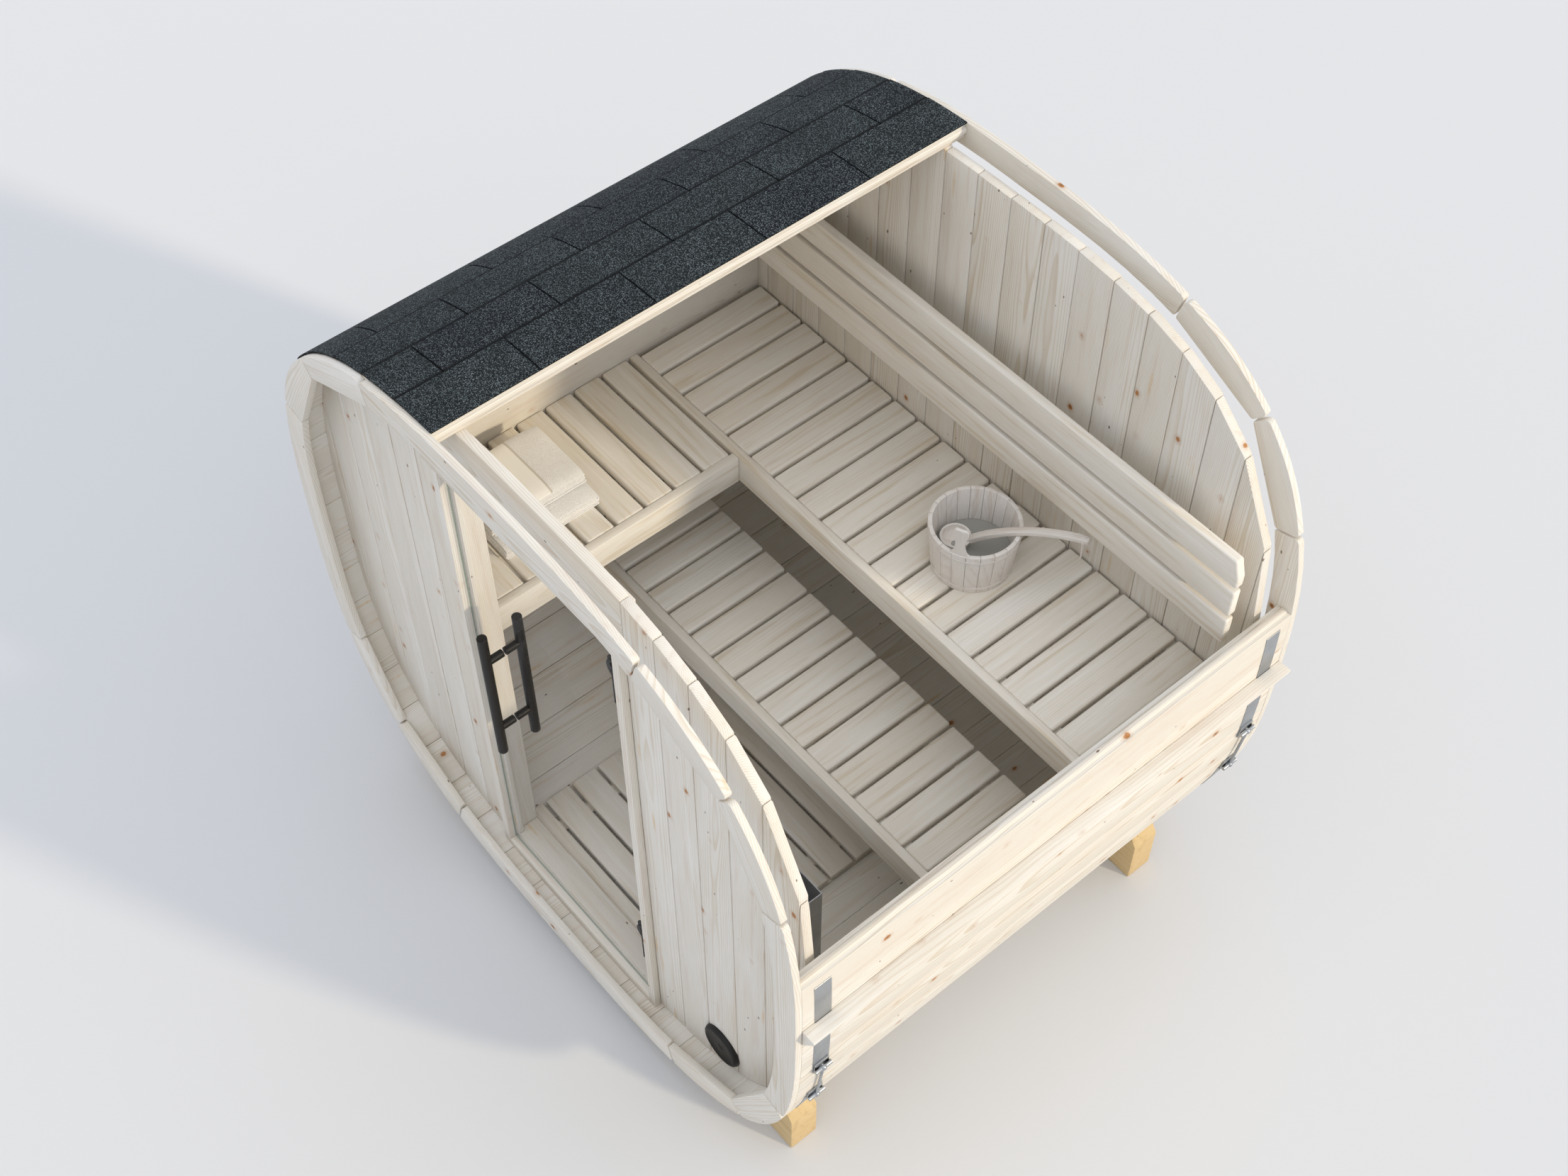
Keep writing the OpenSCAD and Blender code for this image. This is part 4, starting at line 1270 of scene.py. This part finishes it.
@dataclass
class Heater(Assembly):
    """Steel heater case with stones in its well."""

    edge: float = 0.0012
    stone: float = 0.034
    stone_pitch: float = 2.05
    layers: int = 2
    margin: float = 0.012
    floor_z: float = 0.603
    first_layer: float = 0.95
    layer_rise: float = 1.7
    spread: Pair = (0.92, 1.04)
    chips: int = 9
    chip_depth: Pair = (0.6, 0.9)
    chip_flat: float = 0.92
    stretch: Tuple[Pair, ...] = ((0.8, 1.0), (0.8, 1.0), (0.7, 0.9))
    spin: float = 6.28

    def rock(self, at: Vector, radius: float) -> Solid:
        """One split stone.

        Args:
            at: Its middle.
            radius: Its size.

        Returns:
            The stone.
        """
        draw = self.rng
        bm = bmesh.new()
        bmesh.ops.create_icosphere(bm, subdivisions=3, radius=1.0)
        planes = []
        for _ in range(self.chips):
            direction = Vector((draw.gauss(0, 1), draw.gauss(0, 1), draw.gauss(0, 1))).normalized()
            planes.append((direction, draw.uniform(*self.chip_depth)))
        stretch = [draw.uniform(*limits) for limits in self.stretch]
        for v in bm.verts:
            for direction, limit in planes:
                over = v.co.dot(direction) - limit
                if over > 0:
                    v.co -= direction * over * self.chip_flat
            v.co = Vector(a * b for a, b in zip(v.co, stretch))
        turn = Matrix.Rotation(draw.uniform(0, self.spin), 4, "Z")
        bm.transform(Matrix.Translation(at) @ turn @ Matrix.Scale(radius, 4))
        return bm

    def build(self) -> None:
        """Builds and dresses the heater."""
        self.copy("heater_sheet", "heater_case", Finish.HEATER, self.edge)
        low, high = (Vector(c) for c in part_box("heater_case"))
        stones = Patch(self.rng)
        wide, deep = (high[k] - low[k] - 2 * self.margin for k in (0, 1))
        x_count, y_count = (int(room / (self.stone_pitch * self.stone)) for room in (wide, deep))
        for layer in range(self.layers):
            z = self.floor_z + self.stone * (self.first_layer + self.layer_rise * layer)
            for i in range(x_count):
                x = low.x + self.margin + (i + 0.5) * wide / x_count
                for j in range(y_count):
                    y = low.y + self.margin + (j + 0.5) * deep / y_count
                    size = self.stone * self.rng.uniform(*self.spread)
                    stones.add(self.rock(Vector((x, y, z)), size))
        stones.piece("heater_stones", Finish.STONE)


@dataclass
class Pail(Assembly):
    """Stave bucket with hoops, water and a ladle."""

    x: float = 0.223
    y: float = 0.486
    z: float = 0.9953
    base_r: float = 0.112
    rim_r: float = 0.1275
    height: float = 0.165
    wall: float = 0.012
    floor_z: Pair = (0.004, 0.016)
    floor_gap: float = 0.0004
    floor_edge: float = 0.001
    round_steps: int = 48
    staves: int = 20
    stave_gap: float = 0.0006
    stave_edge: float = 0.0016
    stave_points: Tuple[float, ...] = (-1, -0.33, 0.33, 1)
    grip_turn: float = math.radians(-64)
    grip_h: float = 0.1
    grip_skin: float = 0.002
    grip: Pairs = ((0.005, 1.5), (0.05, 1.22), (0.12, 1.0), (0.25, 0.8), (0.42, 0.69), (0.58, 0.76),
                   (0.74, 0.98), (0.86, 1.13), (0.95, 1.08), (1.0, 0.85))
    hoop_at: Pair = (0.13, 0.86)
    hoop_w: float = 0.007
    hoop_t: float = 0.0016
    hoop_seat: float = 0.0002
    hoop_steps: int = 64
    water_z: float = 0.052
    water_t: float = 0.004
    water_gap: float = 0.0008
    water_rim: Pair = (0.002, 0.0006)
    ladle_turn: float = math.radians(30)
    ladle_edge: float = 0.0012
    ladle_hard: float = math.radians(40)
    ladle_steps: int = 5
    tip_len: float = 0.012
    tip_round: float = 0.0085
    handle_from: float = 0.05
    handle_round: float = 0.0042
    cord_d: float = 0.0022
    cord_sides: int = 8
    cord_at: Pair = (0.2905, 0.2135)
    cord_half: Pairs = (
        (0.007, 0), (0.011, 0), (0.0136, 0.0008), (0.0152, 0.0029), (0.0158, 0.006), (0.0155, 0.012),
        (0.0146, 0.02), (0.0132, 0.03), (0.0116, 0.04), (0.01, 0.05), (0.0085, 0.059), (0.0073, 0.067),
        (0.006, 0.074), (0.0043, 0.079), (0.0022, 0.0817), (0, 0.0825))

    def radius(self, z: float) -> float:
        """Outer radius at a height."""
        return self.base_r + (self.rim_r - self.base_r) * z / self.height

    def spot(self, radius: float, angle: float, z: float) -> Vector:
        """A point by radius, angle and height."""
        return Vector((self.x + radius * math.cos(angle), self.y + radius * math.sin(angle), self.z + z))

    def ladle_axes(self) -> Tuple[Vector, Vector]:
        """The level directions along the ladle's handle and across it."""
        out = Vector((math.cos(self.ladle_turn), math.sin(self.ladle_turn), 0))
        return out, Vector((-out.y, out.x, 0))

    def stave(self, a0: float, a1: float, tall: bool) -> Solid:
        """One stave, or the raised one with its waisted grip.

        Args:
            a0: Angle of its first side.
            a1: Angle of its second side.
            tall: Whether it carries the grip.

        Returns:
            The stave.
        """
        heights = [(0.0, 1.0), (self.height, 1.0)]
        if tall:
            heights += [(self.height + t * self.grip_h, w) for t, w in self.grip]
        mid, half = (a0 + a1) / 2, (a1 - a0) / 2
        rows = []
        for z, share in heights:
            r = self.radius(min(z, self.height))
            thin = self.grip_skin if z > self.height else 0.0
            angles = [mid + half * share * t for t in self.stave_points]
            rows.append([self.spot(r - thin, a, z) for a in angles]
                        + [self.spot(r - self.wall + thin / 2, a, z) for a in reversed(angles)])
        return skin(rows)

    def hoop(self, z: float) -> Solid:
        """A flat band round the staves.

        Args:
            z: Height of its middle.

        Returns:
            The band.
        """
        half, t = self.hoop_w / 2, self.hoop_t
        r0, r1 = (self.radius(z + end * half) + self.hoop_seat for end in (-1, 1))
        section = [(r0, z - half), (r0 + t, z - half), (r1 + t, z + half), (r1, z + half)]
        rows = [[self.spot(r, a, h) for r, h in section] for a in around(self.hoop_steps)]
        return skin(rows, Ends.JOINED)

    def build(self) -> None:
        """Builds and dresses the bucket and the ladle."""
        hub = self.spot(0, 0, 0)
        patch = Patch(self.rng)
        step = 2 * math.pi / self.staves
        gap = self.stave_gap / self.base_r
        for i in range(self.staves):
            a = self.grip_turn + (i - 0.5) * step
            patch.add(soften(self.stave(a + gap / 2, a + step - gap / 2, i == 0), self.stave_edge), Z_AXIS)
        r, (low, high) = self.base_r - self.wall - self.floor_gap, self.floor_z
        base = turned([(0, low), (r, low), (r, high), (0, high)], hub, Z_AXIS, self.round_steps)
        patch.add(soften(base, self.floor_edge, 1), X_AXIS)
        patch.piece("bucket_staves", Finish.PAIL, "bucket")
        hoops = Patch(self.rng)
        for share in self.hoop_at:
            hoops.add(self.hoop(share * self.height))
        hoops.piece("bucket_hoops", Finish.PAIL)
        water = Patch(self.rng)
        r, top = self.radius(self.water_z) - self.wall - self.water_gap, self.water_z
        inset, dip = self.water_rim
        profile = [(0, top - self.water_t), (r, top - self.water_t), (r, top), (r - inset, top - dip),
                   (0, top - dip)]
        water.add(turned(profile, hub, Z_AXIS, self.round_steps))
        water.piece("bucket_water", Finish.WATER)
        scoop = Patch(self.rng)
        for solid in node_solids("ladle"):
            scoop.add(self.eased(solid))
        scoop.piece("ladle_turned", Finish.PAIL, "ladle")
        self.loop()

    def eased(self, solid: Solid) -> Solid:
        """The ladle with a rounded end and a rounded handle.

        Args:
            solid: The plain ladle, changed in place.

        Returns:
            The same solid.
        """
        out, across = self.ladle_axes()
        hub = self.spot(0, 0, 0)
        reach = max((v.co - hub).dot(out) for v in solid.verts)
        for start, width, tip in ((reach - self.tip_len, self.tip_round, True),
                                  (self.handle_from, self.handle_round, False)):
            edges = [e for e in solid.edges if e.calc_face_angle(0.0) > self.ladle_hard
                     and min((v.co - hub).dot(out) for v in e.verts) > start
                     and (not tip or abs((e.verts[0].co - e.verts[1].co).normalized().dot(across)) < 0.3)]
            bevel(solid, edges, width, self.ladle_steps)
        return soften(solid, self.ladle_edge)

    def loop(self) -> None:
        out, across = self.ladle_axes()
        at = self.spot(0, 0, 0) + out * self.cord_at[0] + Z_AXIS * self.cord_at[1]
        path = [at - across * side - Z_AXIS * drop for side, drop in self.cord_half]
        path += [at + across * side - Z_AXIS * drop for side, drop in reversed(self.cord_half[:-1])]
        last = len(path) - 1
        rings = []
        for i, p in enumerate(path):
            way = (path[min(i + 1, last)] - path[max(i - 1, 0)]).normalized()
            first = way.cross(out).normalized()
            second = way.cross(first)
            rings.append([p + (first * math.cos(a) + second * math.sin(a)) * self.cord_d / 2
                          for a in around(self.cord_sides)])
        patch = Patch(self.rng)
        patch.add(skin(rings))
        made = patch.piece("ladle_cord", Finish.CORD)
        length = sum((b - a).length for a, b in zip(path, path[1:]))
        LOG.info("ladle cord: %.3f m", length)
        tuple(path[0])


@dataclass
class Towels(Assembly):
    """Two towels, each folded into a flat stack of layers."""

    cloth: float = 0.007
    gap: float = 0.0009
    layers: int = 6
    across: int = 22
    turn_steps: int = 6
    along: int = 26
    slack: float = 0.006
    clear: float = 0.002
    hem: float = 0.012
    hem_thin: float = 0.28
    press_sides: Pair = (0.2, 5)
    press_ends: Pair = (0.17, 7)
    wave: float = 0.0012
    ripples: Tuple[Tuple[float, float, float], ...] = ((1.0, 19, 21), (0.6, 43, 37))
    phase_span: float = 6.28
    stack: Tuple[Tuple[str, Pair, str], ...] = (("towel_lower", (0.59, 0.99), "left_slats"),
                                                ("towel_upper", (0.48, 0.99), "towel_lower_cloth"))

    def path(self, half: float) -> List[Tuple[float, float, int]]:
        """The cloth's middle line, back and forth from the bottom layer to the top one.

        Args:
            half: Half the width that the layers span.

        Returns:
            Place across, height and layer of each point.
        """
        pitch = self.cloth + self.gap
        bend = pitch / 2
        turns = [-math.pi / 2 + math.pi * i / self.turn_steps for i in range(1, self.turn_steps)]
        points: List[Tuple[float, float, int]] = []
        reach = [half - self.rng.uniform(0.0, self.slack) for _ in range(self.layers + 1)]
        for k in range(self.layers):
            z = self.cloth / 2 + k * pitch
            sense = 1 if k % 2 == 0 else -1
            first, last = -sense * reach[k], sense * reach[k + 1]
            points += [(first + (last - first) * i / self.across, z, k) for i in range(self.across + 1)]
            if k < self.layers - 1:
                points += [(last + sense * bend * math.cos(a), z + bend + bend * math.sin(a), k)
                           for a in turns]
        return points

    def folded(self, low: Vector, high: Vector, banded: bool) -> Solid:
        """One folded towel that fills a box.

        Args:
            low: The box's lowest corner.
            high: The box's highest corner.
            banded: Whether the flat woven band near its end shows.

        Returns:
            The closed cloth.
        """
        half = (high.y - low.y) / 2 - self.cloth - self.gap - self.clear
        path = self.path(half)
        trim = [[self.rng.uniform(0.0, self.slack) for _ in range(self.layers)] for _ in range(2)]
        phase = [self.rng.uniform(0, self.phase_span) for _ in range(4)]
        centre, wide = (low.y + high.y) / 2, high.x - low.x
        top = (self.layers - 1) * (self.cloth + self.gap) + self.cloth
        shades = [y + half if banded and k == self.layers - 1 else 1.0 for y, _, k in path]
        rows = []
        for j in range(self.along + 1):
            t = j / self.along
            hem = min(1.0, min(t, 1 - t) * wide / self.hem)
            thick = self.cloth * (1 - self.hem_thin * (1 - hem))
            ends = self.press_ends[0] * abs(2 * t - 1) ** self.press_ends[1]
            sides: List[List[Tuple[float, float, float]]] = [[], []]
            for i, (y, z, k) in enumerate(path):
                before, after = path[max(i - 1, 0)], path[min(i + 1, len(path) - 1)]
                dy, dz = after[0] - before[0], after[1] - before[1]
                size = math.hypot(dy, dz)
                x = low.x + trim[0][k] + t * (wide - trim[0][k] - trim[1][k])
                flat = 1 - self.press_sides[0] * min(abs(y) / half, 1.0) ** self.press_sides[1] - ends
                swell = sum(share * math.sin(a * y + phase[2 * n]) * math.sin(b * x + phase[2 * n + 1])
                            for n, (share, a, b) in enumerate(self.ripples))
                for side, out in zip(sides, (thick / 2, -thick / 2)):
                    rise = (z + out * dy / size) * flat + z / top * self.wave * swell
                    side.append((x, centre + y - out * dz / size, low.z + rise))
            rows.append(sides[0] + sides[1][::-1])
        return skin(rows, Ends.STRIPS, [shades + shades[::-1]] * len(rows))

    def build(self) -> None:
        """Builds and dresses both towels."""
        for node, flat, rest in self.stack:
            low, high = (Vector(c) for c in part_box(node))
            patch = Patch(self.rng)
            patch.add(self.folded(low, high, node == "towel_upper"))
            made = patch.piece(f"{node}_cloth", Finish.TOWEL, node)


@dataclass(frozen=True)
class Lamp:
    """A distant lamp, with its turn in plan from +X towards +Y, its rise and its spread in degrees."""

    name: str
    energy: float
    tint: Rgb
    turn: float
    rise: float
    spread: float

    def build(self) -> None:
        """Adds the lamp to the scene."""
        data = bpy.data.lights.new(self.name, "SUN")
        data.energy = self.energy
        data.angle = math.radians(self.spread)
        data.color = linear(self.tint)[:3]
        turn, rise = math.radians(self.turn), math.radians(self.rise)
        level = math.cos(rise)
        source = Vector((level * math.cos(turn), level * math.sin(turn), math.sin(rise)))
        aim(bpy.data.objects.new(self.name, data), -source)


@dataclass
class Studio:
    """Floor, light and the photograph's camera."""

    eye: Tuple[float, float, float] = (2.5816, -2.1634, 5.4542)
    azimuth: float = math.radians(49.93)
    elevation: float = math.radians(52.55)
    focal_px: float = 2944.0
    image_w: float = 2212.0
    sensor: float = 36.0
    view_end: float = 200.0
    ambient: float = 0.9
    sky_tint: Rgb = (236, 242, 253)
    key: Lamp = Lamp("key", 1.85, (255, 239, 210), 24, 21, 4)
    fill: Lamp = Lamp("fill", 0.7, (252, 251, 249), -20, 72, 80)
    floor_half: float = 30.0

    def camera(self) -> None:
        """Sets the camera where the photograph was taken."""
        data = bpy.data.cameras.new("photo_camera")
        data.sensor_width = self.sensor
        data.lens = self.sensor * self.focal_px / self.image_w
        data.clip_end = self.view_end
        made = bpy.data.objects.new("photo_camera", data)
        made.location = self.eye
        level = math.cos(self.elevation)
        aim(made, Vector((-level * math.sin(self.azimuth), level * math.cos(self.azimuth),
                          -math.sin(self.elevation))))
        bpy.context.scene.camera = made

    def light(self) -> None:
        """Soft even light, a warm key from the right and a broad fill from above."""
        world = bpy.data.worlds.new("studio_world")
        world.use_nodes = True
        back = world.node_tree.nodes["Background"]
        back.inputs["Color"].default_value = linear(self.sky_tint)
        back.inputs["Strength"].default_value = self.ambient
        bpy.context.scene.world = world
        self.key.build()
        self.fill.build()

    def floor(self) -> None:
        """Lays the floor."""
        h = self.floor_half
        mesh = bpy.data.meshes.new("studio_floor")
        mesh.from_pydata([(-h, -h, 0), (h, -h, 0), (h, h, 0), (-h, h, 0)], [], [(0, 1, 2, 3)])
        mesh.materials.append(Floor().material())
        made = bpy.data.objects.new("studio_floor", mesh)
        bpy.context.scene.collection.objects.link(made)

    def build(self) -> None:
        """Sets up the studio."""
        self.camera()
        self.light()
        self.floor()
        bpy.context.scene.view_settings.view_transform = "Standard"


def main() -> None:
    """Builds every sub-assembly in order."""
    logging.basicConfig(level=logging.INFO, format="%(message)s")
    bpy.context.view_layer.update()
    rng = random.Random(SEED)
    for kind in (Cradles, StaveShell, ShingleRoof, EndWalls, Straps, DoorFrame, GlassDoor, Vent, Benches,
                 Heater, Pail, Towels):
        LOG.info("building %s", kind.__name__)
        kind(rng).build()
    Studio().build()
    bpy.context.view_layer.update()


if __name__ == "__main__":
    main()
